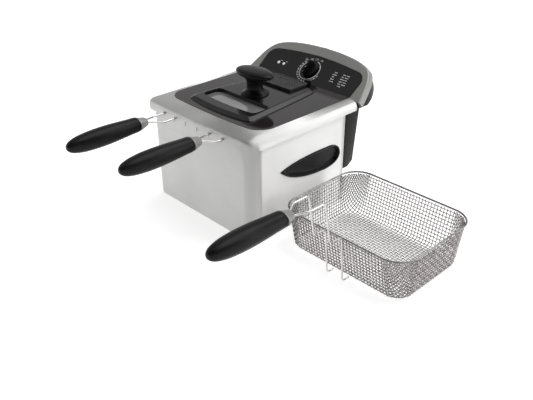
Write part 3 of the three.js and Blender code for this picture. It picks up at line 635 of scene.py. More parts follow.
def add_housing():
    low, high = extent("housing_shell")

    def ring(inset, z):
        front, back = low[1] + inset, high[1] - inset
        return level(rounded_plan(high[0] - inset, front, back, HOUSING_RADIUS - inset, steps=16), z)

    hem = 1.6 * MM
    rings = [
        ring(0.4 * MM, low[2]),
        ring(0, low[2] + 0.5 * MM),
        ring(0, low[2] + hem + 6 * MM),
        ring(0, high[2]),
        ring(SHEET, high[2]),
        ring(SHEET, low[2]),
    ]
    shell = skin("steel_housing", rings, tube=True)
    boolean(shell, prism("leaf_cut", leaf(0.3), 0, low[0] - 0.01, high[0] + 0.01))
    fit(weighted(shell), "brushed_steel", "housing_shell")


def add_side_grip(side, sign):
    """A raised rim round a scooped finger pocket. A section is a margin round the leaf and a depth."""
    low, high = extent(f"side_grip_{side}")
    outer = high[0] if sign > 0 else -low[0]
    sections = [
        (-2.0, 7.0), (0.0, 6.6), (0.0, 1.4), (2.5, 1.4), (2.4, 0.7), (1.6, 0), (-0.2, 0),
        (-1.2, 0.4), (-1.9, 1.4), (-2.4, 3.4), (-3.0, 4.8), (-4.2, 5.6),
    ]
    rings = [[(sign * (outer - depth * MM), y, z) for y, z in leaf(margin)] for margin, depth in sections]
    piece = skin(f"pocket_grip_{side}", rings)
    fit(piece, "black_plastic", f"side_grip_{side}")


def add_feet():
    for end in ("front", "rear"):
        for side in SIDES:
            node = f"foot_{end}_{side}"
            low, high = extent(node)
            x, y, radius = (low[0] + high[0]) / 2, (low[1] + high[1]) / 2, (high[0] - low[0]) / 2
            profile = [
                (0, 0), (radius - 3.4 * MM, 0), (radius - 1.2 * MM, 0.1 * MM),
                (radius - 0.3 * MM, 0.7 * MM), (radius, 1.4 * MM), (radius - 0.4 * MM, high[2]), (0, high[2]),
            ]
            fit(turned(f"rubber_{node}", profile, 40, matrix=Matrix.Translation((x, y, 0))), "rubber", node)


# ---- lid --------------------------------------------------------------------------------
def add_lid_shell():
    low, high = extent("lid_shell")
    height = high[2] - low[2]
    profile = catmull_rom(LID_SECTION, 6)

    def ring(inset_x, inset_y, z, sheet=0.0):
        plan = rounded_plan(
            high[0] - inset_x * MM - sheet,
            low[1] + inset_y * MM + sheet,
            high[1] - sheet,
            max(LID_RADIUS - (inset_x + inset_y) / 2 * MM, 2 * MM),
            2 * MM, LID_BOW, steps=14)
        return level(plan, z)

    outside = [ring(x, y, low[2] + share * height) for x, y, share in profile]
    inside = [ring(x, y, low[2] + share * height - SHEET, SHEET) for x, y, share in profile]
    shell = skin("steel_lid", outside)
    boolean(shell, skin("lid_cavity", inside))
    insert = extent("lid_insert")
    opening = insert_outline(-GAP, insert, reach=20 * MM)
    boolean(shell, prism("lid_opening", opening, 2, insert[0][2] - GAP, high[2] + 0.01))
    slot = NECK_SLOT["half_width"] * MM
    boolean(shell, block("neck_cut", (-slot, high[1] - 0.008, low[2] - 0.001),
                         (slot, high[1] + 0.005, low[2] + NECK_SLOT["height"] * MM)))
    for x in NOTCHES["offsets"]:
        for sign in (-1, 1):
            boolean(shell, notch(sign * x * MM, low))
    fit(weighted(shell), "brushed_steel", "lid_shell")


def notch(x, low):
    """An arch through the lid's front skirt."""
    half = NOTCHES["width"] * MM / 2
    top = low[2] + NOTCHES["height"] * MM - half
    outline = [(x - half, low[2] - 0.002), (x + half, low[2] - 0.002), *arc(x, top, half, 0, math.pi, 12)]
    return skin("notch", [[(px, y, z) for px, z in outline] for y in (low[1] + 0.022, low[1] - 0.008)])


def insert_outline(inset, insert, reach=0.0):
    (x0, y0, _), (x1, y1, _) = insert
    front, back = y0 + inset, y1 + reach
    return rounded_plan(x1 - inset, front, back, INSERT_RADIUS - inset, 1 * MM, LID_BOW, steps=16)


def window_outline(margin):
    m = margin * MM
    return rounded_plan(WINDOW["half_width"] * MM + m, WINDOW["front"] * MM - m, WINDOW["back"] * MM + m,
                        WINDOW["radius"] * MM + m, bow=LID_BOW, steps=10)


def vent_outline(inset):
    low, high = extent("vent_grille")
    return rounded_plan(high[0] - inset, low[1] + inset, high[1] - inset, 3 * MM, steps=6)


def add_lid_insert():
    insert = extent("lid_insert")
    holes = [window_outline(4), vent_outline(VENT_RIM), circle(0, HANDLE_Y, 3 * MM)]
    outline = insert_outline(0, insert)
    piece = plate("gloss_insert", [outline, *holes], insert[0][2], insert[1][2], edge=0.7 * MM)
    fit(weighted(piece), "gloss_black", "lid_insert")


def platform_outline(inset):
    """The raised platform round window and vent: widest at the front, narrower at the back."""
    low, high = extent("window_frame")
    half_front, half_back = 80 * MM - inset, 60 * MM - inset
    front, back = low[1] + inset * 0.6, high[1] - inset * 0.5
    points = [
        (half_front - 12 * MM, front + 5 * MM), (half_front - 4 * MM, front + 8.5 * MM),
        (half_front - 0.6 * MM, front + 16 * MM), (half_front - 1.6 * MM, front + 27 * MM),
        (half_back + 1.5 * MM, back - 12 * MM), (half_back - 0.4 * MM, back - 4 * MM),
        (half_back - 4 * MM, back - 0.5 * MM), (half_back - 9 * MM, back),
    ]
    right = catmull_rom(points, 6)
    span = half_front - 12 * MM
    bow = [(span * t, front + 5 * MM * t * t) for t in spaced(-0.92, 0.92, 20)]
    return bow + right + [(-x, y) for x, y in right[::-1]]


def add_window_frame():
    """The platform's flanks slope in to its top, and its window has steep walls."""
    low, high = extent("window_frame")
    rise = high[2] - low[2]
    steps = [(0, 0), (0.3, 0.12), (2.0, 0.34), (5.0, 0.68), (7.6, 0.92), (9.6, 1.0)]
    profile = catmull_rom([(inset, share, 0) for inset, share in steps], 3)
    rings = [level(platform_outline(inset * MM), low[2] + share * rise) for inset, share, _ in profile]
    body = skin("satin_frame", rings)
    for name, outline in (("window_cut", window_outline(0)), ("vent_cut", vent_outline(VENT_RIM)),
                          ("screw_cut", circle(0, HANDLE_Y, 3 * MM))):
        boolean(body, prism(name, outline, 2, low[2] - 0.01, high[2] + 0.01))
    fit(weighted(body), "panel_black", "window_frame", slot="black_plastic")


def add_glass():
    low, high = extent("window_glass")
    piece = plate("tinted_window", [window_outline(3.7)], low[2], high[2], edge=0.5 * MM)
    fit(weighted(piece), "window_glass", "window_glass")


def add_vent():
    """The filter cover: a frame round a field of small square holes."""
    low, high = extent("vent_grille")
    rim = plate("vent_rim", [vent_outline(0), vent_outline(3.2 * MM)], low[2], high[2], edge=0.8 * MM)
    margin = 3.0 * MM
    x0, x1, y0, y1 = low[0] + margin, high[0] - margin, low[1] + margin, high[1] - margin
    top = high[2] - 0.6 * MM
    field = lattice("vent_field", (x0, x1), (y0, y1), top - 0.9 * MM, top, VENT_PITCH, VENT_SHARE)
    thumb = block("vent_thumb", (x0 + 16 * MM, y1 - 9 * MM, high[2] - 0.8 * MM),
                  (x0 + 38 * MM, y1 - 5.5 * MM, high[2] - 0.1 * MM), 0.3 * MM)
    cover = joined("vent_cover", [rim, field, thumb])
    fit(weighted(cover), "grille_grey", "vent_grille", slot="black_plastic")


def lattice(name, across, along, low, high, pitch, share):
    """A sheet with a square hole in each cell; share is the hole's part of the pitch."""
    nx = round((across[1] - across[0]) / pitch)
    ny = round((along[1] - along[0]) / pitch)
    xs, ys = spaced(*across, nx), spaced(*along, ny)
    bm = bmesh.new()
    for z, up in ((high, True), (low, False)):
        for x0, x1 in zip(xs, xs[1:]):
            for y0, y1 in zip(ys, ys[1:]):
                inset_x, inset_y = (x1 - x0) * (1 - share) / 2, (y1 - y0) * (1 - share) / 2
                outer = [(x0, y0), (x1, y0), (x1, y1), (x0, y1)]
                inner = [(x0 + inset_x, y0 + inset_y), (x1 - inset_x, y0 + inset_y),
                         (x1 - inset_x, y1 - inset_y), (x0 + inset_x, y1 - inset_y)]
                for k in range(4):
                    n = (k + 1) % 4
                    quad = [(*outer[k], z), (*outer[n], z), (*inner[n], z), (*inner[k], z)]
                    bm.faces.new([bm.verts.new(p) for p in (quad if up else quad[::-1])])
                    if up:
                        wall = [(*inner[k], high), (*inner[n], high), (*inner[n], low), (*inner[k], low)]
                        bm.faces.new([bm.verts.new(p) for p in wall])
    border = [(x, ys[0]) for x in xs] + [(xs[-1], y) for y in ys[1:]]
    border += [(x, ys[-1]) for x in xs[-2::-1]] + [(xs[0], y) for y in ys[-2:0:-1]]
    for a, b in zip(border, border[1:] + border[:1]):
        bm.faces.new([bm.verts.new(p) for p in ((*a, low), (*b, low), (*b, high), (*a, high))])
    return from_bmesh(name, bm)


def add_handle():
    """The lid's handle: a waisted stem under a wide oval cap."""
    low, high = extent("handle_stem")
    radius, z0, z1 = high[0], low[2], high[2]
    neck = 14 * MM
    profile = catmull_rom([
        (radius, z0), (radius, z0 + 0.8 * MM), (radius - 1.2 * MM, z0 + 2.2 * MM),
        (neck + 5.2 * MM, z0 + 4.6 * MM), (neck + 1.4 * MM, z0 + 8.5 * MM), (neck, z0 + 13 * MM),
        (neck + 0.1 * MM, z1 - 9 * MM),
        (neck + 1.8 * MM, z1 - 4 * MM), (neck + 5 * MM, z1 - 0.5 * MM), (neck + 5 * MM, z1),
    ], 5)
    place = Matrix.Translation((0, HANDLE_Y, 0))
    stem = turned("knob_stem", [(0, z0), *profile, (0, z1)], 56, matrix=place)
    fit(stem, "black_plastic", "handle_stem")
    low, high = extent("handle_cap")
    reach, z0, height = (high[1] - low[1]) / 2, low[2], high[2] - low[2]
    stretch = (high[0] - low[0]) / (high[1] - low[1])
    shape = [(0.72, 0), (0.84, 0.03), (0.94, 0.15), (0.99, 0.32), (1.0, 0.44), (0.975, 0.6), (0.89, 0.76),
             (0.72, 0.89), (0.46, 0.965), (0.2, 0.995), (0.02, 1.0)]
    profile = catmull_rom([(reach * r, z0 + height * h) for r, h in shape], 6)
    cap = turned("oval_cap", [(0, z0), *profile, (0, z0 + height)], 96, scale=(stretch, 1), matrix=place)
    fit(cap, "black_plastic", "handle_cap")


def add_catch():
    """A small upright catch with three ribs on its front."""
    low, high = extent("lid_catch")
    body = block("catch_body", (low[0], low[1] + 1.2 * MM, low[2]), high, 0.7 * MM)
    pitch = (high[0] - low[0]) / 3
    ribs = [
        block(f"catch_rib_{i}", (low[0] + pitch * (i + 0.25), low[1], low[2] + 1.5 * MM),
              (low[0] + pitch * (i + 0.75), low[1] + 2.5 * MM, high[2] - 1.2 * MM), 0.5 * MM)
        for i in range(3)
    ]
    fit(joined("ribbed_catch", [body, *ribs]), "black_plastic", "lid_catch")


# ---- control head -------------------------------------------------------------------------
def panel_matrix():
    """From the panel's plane (x across, y up the slope, z out of it) in metres to the frame."""
    dial = next(j for j in frame["joints"] if j["name"] == "thermostat_turn")
    out = -Vector(dial["axis"]).normalized()
    up = Vector((0, out.z, -out.y))
    origin = Vector(dial["pos_m"]) - up * PANEL_KNOB_S * MM
    return Matrix.Translation(origin) @ Matrix((Vector((1, 0, 0)), up, out)).transposed().to_4x4()


PANEL = panel_matrix()


def on_panel(piece):
    piece.data.transform(PANEL)
    return piece


def add_bezel():
    """The silver arch round the panel, swept as one section from its right foot to its left foot."""
    section = [
        (2, -14, BEZEL_HALF), (1.5, -9, BEZEL_HALF), (0.7, -4.5, BEZEL_HALF), (0.2, -2.4, BEZEL_HALF),
        (-0.6, -0.9, BEZEL_HALF), (-1.8, -0.15, BEZEL_HALF), (-3.2, 0, BEZEL_HALF),
        (1.0, 0, PANEL_HALF), (0.35, -0.25, PANEL_HALF), (0.1, -0.8, PANEL_HALF), (0.1, -4, PANEL_HALF),
        (-5, -4, BEZEL_HALF), (-5, -14, BEZEL_HALF),
    ]
    rings = [[(x, s, h * MM) for x, s in mirrored(half, 8, grow)] for grow, h, half in section]
    piece = skin("silver_bezel", rings, closed_rows=False, tube=True, angle=40)
    fit(weighted(on_panel(piece)), "silver_plastic", "head_bezel")


def add_panel():
    outline = mirrored(PANEL_HALF, 8, -0.3)
    lamps = [circle(x * MM, LAMP_S * MM, 3.3 * MM) for x in LAMPS.values()]
    holes = [circle(0, PANEL_KNOB_S * MM, 3.6 * MM), *lamps]
    piece = plate("dark_panel", [outline, *holes], -3.4 * MM, -0.4 * MM, edge=0.25 * MM)
    fit(weighted(on_panel(piece)), "panel_black", "control_panel", slot="black_plastic")


def stroke(name, outline):
    """A printed mark: a thin film on the panel's face."""
    return prism(name, outline, 2, -0.42 * MM, -0.28 * MM)


def ring_sector(radius, width, start, end):
    steps = max(3, int(abs(end - start) / math.radians(4)))
    outer = arc(0, PANEL_KNOB_S * MM, (radius + width / 2) * MM, start, end, steps)
    inner = arc(0, PANEL_KNOB_S * MM, (radius - width / 2) * MM, end, start, steps)
    return outer + inner


def dash(x, s, length, width):
    half = width / 2
    return [(x * MM, (s - half) * MM), ((x + length) * MM, (s - half) * MM),
            ((x + length) * MM, (s + half) * MM), (x * MM, (s + half) * MM)]


def numeral(text, x, s, size):
    """A dial number as a thin film, centred on a point of the panel."""
    curve = bpy.data.curves.new("numeral", "FONT")
    curve.body = text
    curve.size = size * MM
    curve.align_x = "CENTER"
    curve.align_y = "CENTER"
    curve.extrude = 0.07 * MM
    return from_curve("numeral_" + text, new_object("numeral", curve), (x * MM, s * MM, -0.35 * MM))


def add_print():
    """Dial ring, marks and numbers, and rows of plain dashes where a text block would be."""
    turn = math.radians
    marks = [stroke("dial_ring", ring_sector(21.4, 1.7, turn(-252), turn(78)))]
    marks += [
        stroke(f"dial_mark_{i}", ring_sector(25.6, 2.0, a - turn(4.6), a + turn(4.6)))
        for i, a in enumerate(spaced(turn(-20), turn(-215), 13))
    ]
    for text, x, s in (("130", -22, 51.5), ("150", -11.5, 55), ("170", -0.5, 57), ("190", 10.5, 57)):
        marks.append(numeral(text, x, s, 5.2))
    rows = [(54, 6.5, 43), (52.5, 9, 38), (54, 5, 33), (53.5, 8, 28), (54.5, 9, 23),
            (74, 6, 43), (82.5, 6.5, 43), (73, 5.5, 38), (81, 8, 38), (73.5, 8.5, 33),
            (84, 5, 33), (74, 7, 28), (83.5, 6.5, 28), (75, 5.5, 23), (83, 8, 23), (77, 7, 18)]
    marks += [stroke(f"row_{i}", dash(x, s, length, 1.5)) for i, (x, length, s) in enumerate(rows)]
    marks += [stroke(f"{name}_tag", dash(x + 1.8, LAMP_S + 5.6, 4.5, 1.0)) for name, x in LAMPS.items()]
    fit(on_panel(joined("panel_print", marks)), "print_white", body="control_head")


def add_lamps():
    for name, x in LAMPS.items():
        side = catmull_rom([(3, -3.6), (3, -0.6), (2.85, 0.1), (2.2, 0.6), (1.2, 0.78), (0.15, 0.8)], 4)
        place = PANEL @ Matrix.Translation((x * MM, LAMP_S * MM, 0))
        lens = turned(name + "_lens", in_metres([(0, -3.6), *side, (0, 0.8)]), 32, matrix=place)
        fit(lens, "lamp_lens", name)


def add_knob():
    """A low disc with a tapered grip bar, and a printed pointer at the bar's lower end."""
    place = PANEL @ Matrix.Translation((0, PANEL_KNOB_S * MM, 0))
    rim = [(16.0, 0.5), (16.5, 1.0), (16.5, 2.8), (16.1, 3.7), (15.2, 4.2), (13.5, 4.45), (0.5, 4.5)]
    disc = turned("knob_disc", in_metres([(0, 0.5), *catmull_rom(rim, 4), (0, 4.5)]), 56)
    rings = []
    for height, half_length, half_width in KNOB_BAR:
        x, y = half_width * MM, half_length * MM
        rings.append(level(rounded_plan(x, -y, y, 0.6 * x, steps=6), height * MM))
    bar = skin("knob_bar", rings)
    piece = joined("dial_knob", [disc, bar])
    piece.data.transform(place)
    fit(piece, "black_plastic", "thermostat_knob")
    low, high = (-0.8 * MM, -14.0 * MM, 14.9 * MM), (0.8 * MM, -3 * MM, 15.8 * MM)
    pointer = block("dial_pointer", low, high, 0.1 * MM, 1)
    for vertex in pointer.data.vertices:
        slope = max(0.0, -vertex.co.y - 9.4 * MM)
        vertex.co.z -= slope * 0.45
    pointer.data.transform(place)
    fit(pointer, "print_white", body="knob")


# ---- heater ----------------------------------------------------------------------------------
def add_heater():
    low, high = extent("heating_element")
    radius = 3.2 * MM
    z = low[2] + radius
    half = [(25, 106.5, high[2] / MM), (25, 106.5, z / MM), (25, 92, z / MM), (104, 92, z / MM),
            (104, -92, z / MM), (70, -92, z / MM), (70, 66, z / MM), (36, 66, z / MM), (36, -92, z / MM)]
    route = [Vector(p) * MM for p in half + [(-x, y, h) for x, y, h in half[::-1]]]
    fit(tube("heater_loop", bent_path(route, 14 * MM, 8), radius, 16), "element_steel", "heating_element")


# ---- baskets ---------------------------------------------------------------------------------
class Basket:
    """A basket's own dimensions in metres, from its CAD nodes. The rim's front middle is its origin."""

    def __init__(self, name, size):
        self.name, self.size = name, size
        self.low, self.high = extent(f"{name}_mesh")
        rim_low, rim_high = extent(f"{name}_rim")
        self.origin = Vector(((rim_low[0] + rim_high[0]) / 2, rim_low[1], self.high[2]))
        self.rim_half = (rim_high[0] - rim_low[0]) / 2
        self.rim_length = rim_high[1] - rim_low[1]
        self.rim_z = (rim_low[2] + rim_high[2]) / 2
        self.height = self.high[2] - self.low[2]

    def at(self, x, y, z):
        """A point in millimetres of the basket's frame, in the row frame."""
        return self.origin + Vector((x, y, z)) * MM


def tray(basket, u, v):
    """Where the flat cloth's point (u, v) lies in the pressed tray, with its distance past the floor."""
    draft_x, draft_y = (d * MM + BASKET_FOOT_ROUND + MM for d in basket.size["draft"])
    half_x = (basket.high[0] - basket.low[0]) / 2 - MESH_WIRE - draft_x
    half_y = (basket.high[1] - basket.low[1]) / 2 - MESH_WIRE - draft_y
    corner = basket.size["radius"] * MM - (draft_x + draft_y) / 2
    qx, qy = np.abs(u) - (half_x - corner), np.abs(v) - (half_y - corner)
    kx, ky = np.maximum(qx, 0), np.maximum(qy, 0)
    reach = np.hypot(kx, ky)
    past = reach - corner
    flat = (past <= 0) | (reach == 0)
    safe = np.where(reach == 0, 1, reach)
    nx, ny = np.sign(u) * kx / safe, np.sign(v) * ky / safe
    out = np.where(flat, 0, past)
    turn = BASKET_FOOT_ROUND * math.pi / 2
    slant = np.maximum(out - turn, 0) / (wall_length(basket) - turn)
    bend = np.minimum(out, turn) / BASKET_FOOT_ROUND
    side = BASKET_FOOT_ROUND * np.sin(bend)
    x = u - nx * out + nx * (side + (draft_x - BASKET_FOOT_ROUND) * slant)
    y = v - ny * out + ny * (side + (draft_y - BASKET_FOOT_ROUND) * slant)
    lift = basket.height - MESH_WIRE * 2 - BASKET_FOOT_ROUND
    z = BASKET_FOOT_ROUND * (1 - np.cos(bend)) + lift * slant
    middle = [(low + high) / 2 for low, high in zip(basket.low, basket.high)]
    return np.stack([x + middle[0], y + middle[1], z + basket.low[2] + 2 * MESH_WIRE], -1), out


def wall_length(basket):
    return basket.height - BASKET_FOOT_ROUND + BASKET_FOOT_ROUND * math.pi / 2


def woven_wire(basket, fixed, along, lengthwise, phase):
    """One wire of the cloth: its centre points and the normal at each, or None if it misses the tray."""
    u, v = (np.full_like(along, fixed), along) if lengthwise else (along, np.full_like(along, fixed))
    points, past = tray(basket, u, v)
    inside = np.flatnonzero(past <= wall_length(basket))
    if len(inside) < 4:
        return None
    points, u, v = points[inside], u[inside], v[inside]
    step = 0.2 * MM
    across_u = tray(basket, u + step, v)[0] - tray(basket, u - step, v)[0]
    across_v = tray(basket, u, v + step)[0] - tray(basket, u, v - step)[0]
    normal = np.cross(across_u, across_v)
    normal /= np.maximum(np.linalg.norm(normal, axis=1, keepdims=True), 1e-12)
    wave = np.cos(math.pi * along[inside] / MESH_PITCH + phase)
    return points + normal * (MESH_WIRE * 0.95 * wave)[:, None], normal


def cloth(basket):
    """Every woven wire of a basket, cut where it reaches the rim."""
    half_u = (basket.high[0] - basket.low[0]) / 2 + wall_length(basket)
    half_v = (basket.high[1] - basket.low[1]) / 2 + wall_length(basket)
    for lengthwise, across, along in ((True, half_u, half_v), (False, half_v, half_u)):
        count = int(across / MESH_PITCH)
        samples = np.arange(-int(along / MESH_PITCH * 2), int(along / MESH_PITCH * 2) + 1) * MESH_PITCH / 2
        for i in range(-count, count + 1):
            wire = woven_wire(basket, i * MESH_PITCH, samples, lengthwise, math.pi * (i + (not lengthwise)))
            if wire:
                yield wire


def add_cloth(basket):
    """The woven mesh as one object of fine wires."""
    sides = 5
    angles = np.linspace(0, 2 * math.pi, sides, endpoint=False)
    verts, faces, start = [], [], 0
    for points, normal in cloth(basket):
        tangent = np.gradient(points, axis=0)
        tangent /= np.linalg.norm(tangent, axis=1, keepdims=True)
        normal = normal - tangent * (normal * tangent).sum(1, keepdims=True)
        normal /= np.linalg.norm(normal, axis=1, keepdims=True)
        other = np.cross(tangent, normal)
        ring = (points[:, None] + MESH_WIRE * (np.cos(angles)[:, None] * normal[:, None]
                                               + np.sin(angles)[:, None] * other[:, None]))
        verts.append(ring.reshape(-1, 3))
        count = len(points)
        for i in range(count - 1):
            a = start + i * sides
            faces += [(a + j, a + (j + 1) % sides, a + sides + (j + 1) % sides, a + sides + j)
                      for j in range(sides)]
        last = start + (count - 1) * sides
        faces.append(tuple(range(start + sides - 1, start - 1, -1)))
        faces.append(tuple(range(last, last + sides)))
        start += count * sides
    mesh = bpy.data.meshes.new("cloth")
    mesh.from_pydata(np.concatenate(verts).tolist(), [], faces)
    piece = smooth(new_object(f"{basket.name}_cloth", mesh), 70)
    fit(piece, "chromed_wire", f"{basket.name}_mesh")


def add_rim(basket):
    half = basket.rim_half - WIRE
    plan = rounded_plan(half, WIRE, basket.rim_length - WIRE, basket.size["radius"] * MM - WIRE, steps=16)
    line = [basket.origin + Vector((x, y, basket.rim_z - basket.origin.z)) for x, y in plan]
    hoop = tube(f"{basket.name}_hoop", line, WIRE, 12, closed=True)
    fit(hoop, "rim_wire", f"{basket.name}_rim", slot="chromed_wire")


def handle_line(basket):
    """One bent wire: from a foot up the wall, over the step, along the bar, into the grip, and back."""
    size, x = basket.size, WIRE_OFFSET
    foot = -(basket.height / MM) - 1.8
    neck_y, neck_z = size["neck"]
    lean = math.tan(math.radians(size["tilt"]))
    half = [
        (x, size["draft"][1] + 6, foot), (x, size["draft"][1] - 9, foot), (x, -5, STEP["rise"] - 2),
        (x, -STEP["out"], STEP["rise"]), (x, -STEP["bend"], STEP["height"]),
        (x, size["bar_end"], STEP["height"]), (5, neck_y + 2, neck_z), (5, neck_y - 22, neck_z - 22 * lean),
    ]
    corners = half + [(-px, py, pz) for px, py, pz in half[::-1]]
    return bent_path([basket.at(*c) for c in corners], 6 * MM, 6)


def add_handle_wire(basket):
    piece = tube(f"{basket.name}_frame_wire", handle_line(basket), WIRE, 12)
    fit(piece, "bright_wire", f"{basket.name}_wire", slot="chromed_wire")


def handle_matrix(basket):
    """From the handle's own frame, whose z runs down the grip, to the row frame."""
    neck_y, neck_z = basket.size["neck"]
    lean = Matrix.Rotation(math.radians(90 + basket.size["tilt"]), 4, "X")
    return Matrix.Translation(basket.at(0, neck_y, neck_z)) @ lean


def add_grip(basket):
    place = handle_matrix(basket)
    neck = [(5.4, 0), (6.3, 0.4), (7.0, 1.6), (7.7, 4), (8.6, 7.5), (9.6, 11.5), (10.3, 14), (10.6, 14.6),
            (10.8, 15.4), (10.8, FERRULE_LENGTH)]
    profile = in_metres([(0, 0), *catmull_rom(neck, 4), (0, FERRULE_LENGTH)])
    ferrule = turned(f"{basket.name}_collar", profile, 48, scale=(1.3, 1), matrix=place)
    fit(ferrule, "silver_plastic", f"{basket.name}_ferrule")
    body = [(10.6, 0), (11.6, 0.5), (12.1, 2), (12.8, 16), (13.7, 30), (14.6, 46), (15.15, 62), (15.15, 74),
            (14.7, 88), (13.0, 106), (10.2, 118), (7.6, 123.6), (4.2, 127.2), (0.4, GRIP_LENGTH)]
    profile = [(0, 0), *catmull_rom(body, 5), (0, GRIP_LENGTH)]
    profile = in_metres([(r, GRIP_START + h) for r, h in profile])
    grip = turned(f"{basket.name}_handle", profile, 64, power=2.2, matrix=place)
    fit(grip, "black_plastic", f"{basket.name}_grip")


# ---- CAD nodes that stay -----------------------------------------------------------------------
EDGES = {
    "rear_box": 1.2, "head_casing": 1.0, "rear_cover": 0.4, "power_inlet": 0.5, "head_rail_left": 0.4,
    "head_rail_right": 0.4, "microswitch": 0.4, "terminal_block": 0.5, "thermal_cutout": 0.5,
    "element_bracket": 0.3,
}


def dress(node, edge=0.0):
    """Gives a CAD node its finish, and shading that follows its edges."""
    piece = frame["nodes"][node]
    piece.data.materials.clear()
    piece.data.materials.append(FINISH[SLOT_OF[node]])
    piece.data.shade_smooth()
    piece.modifiers.new("weld", "WELD").merge_threshold = 1e-6
    flat = piece.modifiers.new("flat", "DECIMATE")
    flat.decimate_type = "DISSOLVE"
    flat.angle_limit = math.radians(0.5)
    if edge:
        bevel = piece.modifiers.new("edges", "BEVEL")
        bevel.width = edge
        bevel.segments = 3
        bevel.limit_method = "ANGLE"
        bevel.angle_limit = math.radians(40)
    piece.modifiers.new("split", "EDGE_SPLIT").split_angle = math.radians(38)


def dress_rest():
    """Every CAD node that nothing stands in for, some with rounded edges."""
    for node, piece in frame["nodes"].items():
        if not piece.hide_render:
            dress(node, EDGES.get(node, 0) * MM)


# ---- stage ------------------------------------------------------------------------------------
CAMERA = {"azimuth": 46.27, "elevation": 30.02, "roll": -0.33, "lens": 45.0,
          "place": (0.8082, -0.7334, 0.6180)}


# How bright the surround is at each bearing: 0 is +X and 90 is +Y. The camera stands near -42 degrees.
SURROUND = [(-180, 0.35), (180, 0.35), (-151, 0.75), (-136, 0.80), (-128, 0.03), (-100, 0.01), (30, 0.01),
            (36, 3.0), (44, 2.8), (50, 0.9), (64, 0.30), (137, 0.56)]
HORIZON = {"brightness": 0.78, "edge": (0.34, 0.20)}  # everywhere low down, so that it meets the floor
SOFT_BOX = {"brightness": 2.9, "axis": (0.16, 0.45, 0.88), "edge": (0.84, 0.96)}


def add_camera():
    data = bpy.data.cameras.new("camera")
    data.lens = CAMERA["lens"]
    data.sensor_width = 36
    camera = bpy.data.objects.new("camera", data)
    bpy.context.scene.collection.objects.link(camera)
    azimuth, elevation = math.radians(CAMERA["azimuth"]), math.radians(CAMERA["elevation"])
    turn = Matrix.Rotation(azimuth, 4, "Z") @ Matrix.Rotation(math.pi / 2 - elevation, 4, "X")
    roll = Matrix.Rotation(math.radians(CAMERA["roll"]), 4, "Z")
    camera.matrix_world = Matrix.Translation(CAMERA["place"]) @ turn @ roll
    bpy.context.scene.camera = camera


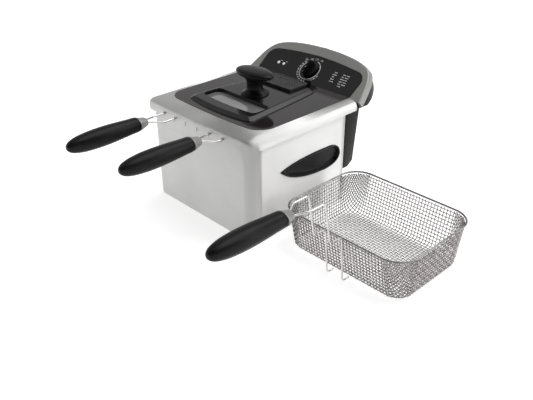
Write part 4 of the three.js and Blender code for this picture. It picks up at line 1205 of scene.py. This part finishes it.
def add_floor():
    mesh = bpy.data.meshes.new("floor")
    reach = 60.0
    corners = [(-reach, -reach, 0), (reach, -reach, 0), (reach, reach, 0), (-reach, reach, 0)]
    mesh.from_pydata(corners, [], [(0, 1, 2, 3)])
    floor = new_object("floor", mesh)
    finish = Finish("floor", (0.86, 0.86, 0.86), 0.22)
    finish.set("Emission Color", (1, 1, 1, 1))
    finish.set("Emission Strength", 0.62)
    floor.data.materials.append(finish.material)
    floor.location.z = -0.0002
    floor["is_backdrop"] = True


def add_studio():
    """A pale surround that is darker round the camera, with one wide soft box above its back."""
    world = bpy.data.worlds.new("studio")
    bpy.context.scene.world = world
    world.use_nodes = True
    tree = world.node_tree
    background = tree.nodes["Background"]
    coordinates = tree.nodes.new("ShaderNodeTexCoord")
    split = tree.nodes.new("ShaderNodeSeparateXYZ")
    tree.links.new(coordinates.outputs["Generated"], split.inputs["Vector"])
    bearing = tree.nodes.new("ShaderNodeMath")
    bearing.operation = "ARCTAN2"
    tree.links.new(split.outputs["Y"], bearing.inputs[0])
    tree.links.new(split.outputs["X"], bearing.inputs[1])
    turn = tree.nodes.new("ShaderNodeMapRange")
    turn.inputs["From Min"].default_value = -math.pi
    turn.inputs["From Max"].default_value = math.pi
    tree.links.new(bearing.outputs["Value"], turn.inputs["Value"])
    ring = tree.nodes.new("ShaderNodeValToRGB")
    tree.links.new(turn.outputs["Result"], ring.inputs["Fac"])
    for i, (degrees, grey) in enumerate(SURROUND):
        place = (degrees + 180) / 360
        stop = ring.color_ramp.elements[i] if i < 2 else ring.color_ramp.elements.new(place)
        stop.position = place
        stop.color = (grey, grey, grey, 1)
    soft_box = tree.nodes.new("ShaderNodeMapRange")
    soft_box.interpolation_type = "SMOOTHSTEP"
    soft_box.inputs["From Min"].default_value, soft_box.inputs["From Max"].default_value = SOFT_BOX["edge"]
    towards = tree.nodes.new("ShaderNodeVectorMath")
    towards.operation = "DOT_PRODUCT"
    towards.inputs[1].default_value = SOFT_BOX["axis"]
    tree.links.new(coordinates.outputs["Generated"], towards.inputs[0])
    tree.links.new(towards.outputs["Value"], soft_box.inputs["Value"])
    low = tree.nodes.new("ShaderNodeMapRange")
    low.interpolation_type = "SMOOTHSTEP"
    low.inputs["From Min"].default_value, low.inputs["From Max"].default_value = HORIZON["edge"]
    tree.links.new(split.outputs["Z"], low.inputs["Value"])
    horizon = tree.nodes.new("ShaderNodeMix")
    horizon.data_type = "RGBA"
    horizon.blend_type = "LIGHTEN"
    tree.links.new(low.outputs["Result"], horizon.inputs[0])
    tree.links.new(ring.outputs["Color"], horizon.inputs[6])
    horizon.inputs[7].default_value = (*[HORIZON["brightness"]] * 3, 1)
    mix = tree.nodes.new("ShaderNodeMix")
    mix.data_type = "RGBA"
    tree.links.new(soft_box.outputs["Result"], mix.inputs[0])
    tree.links.new(horizon.outputs[2], mix.inputs[6])
    mix.inputs[7].default_value = (*[SOFT_BOX["brightness"]] * 3, 1)
    tree.links.new(mix.outputs[2], background.inputs["Color"])
    bpy.context.scene.view_settings.view_transform = "Standard"


add_camera()
add_studio()
add_floor()
add_housing()
for side, sign in SIDES.items():
    add_side_grip(side, sign)
add_feet()
add_lid_shell()
add_lid_insert()
add_window_frame()
add_glass()
add_vent()
add_handle()
add_catch()
add_bezel()
add_panel()
add_print()
add_lamps()
add_knob()
add_heater()
for basket_name, basket_size in BASKETS.items():
    basket = Basket(basket_name, basket_size)
    add_cloth(basket)
    add_rim(basket)
    add_handle_wire(basket)
    add_grip(basket)
dress_rest()

[[list(corner) for corner in bounds] for bounds in (cad_bounds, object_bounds())]
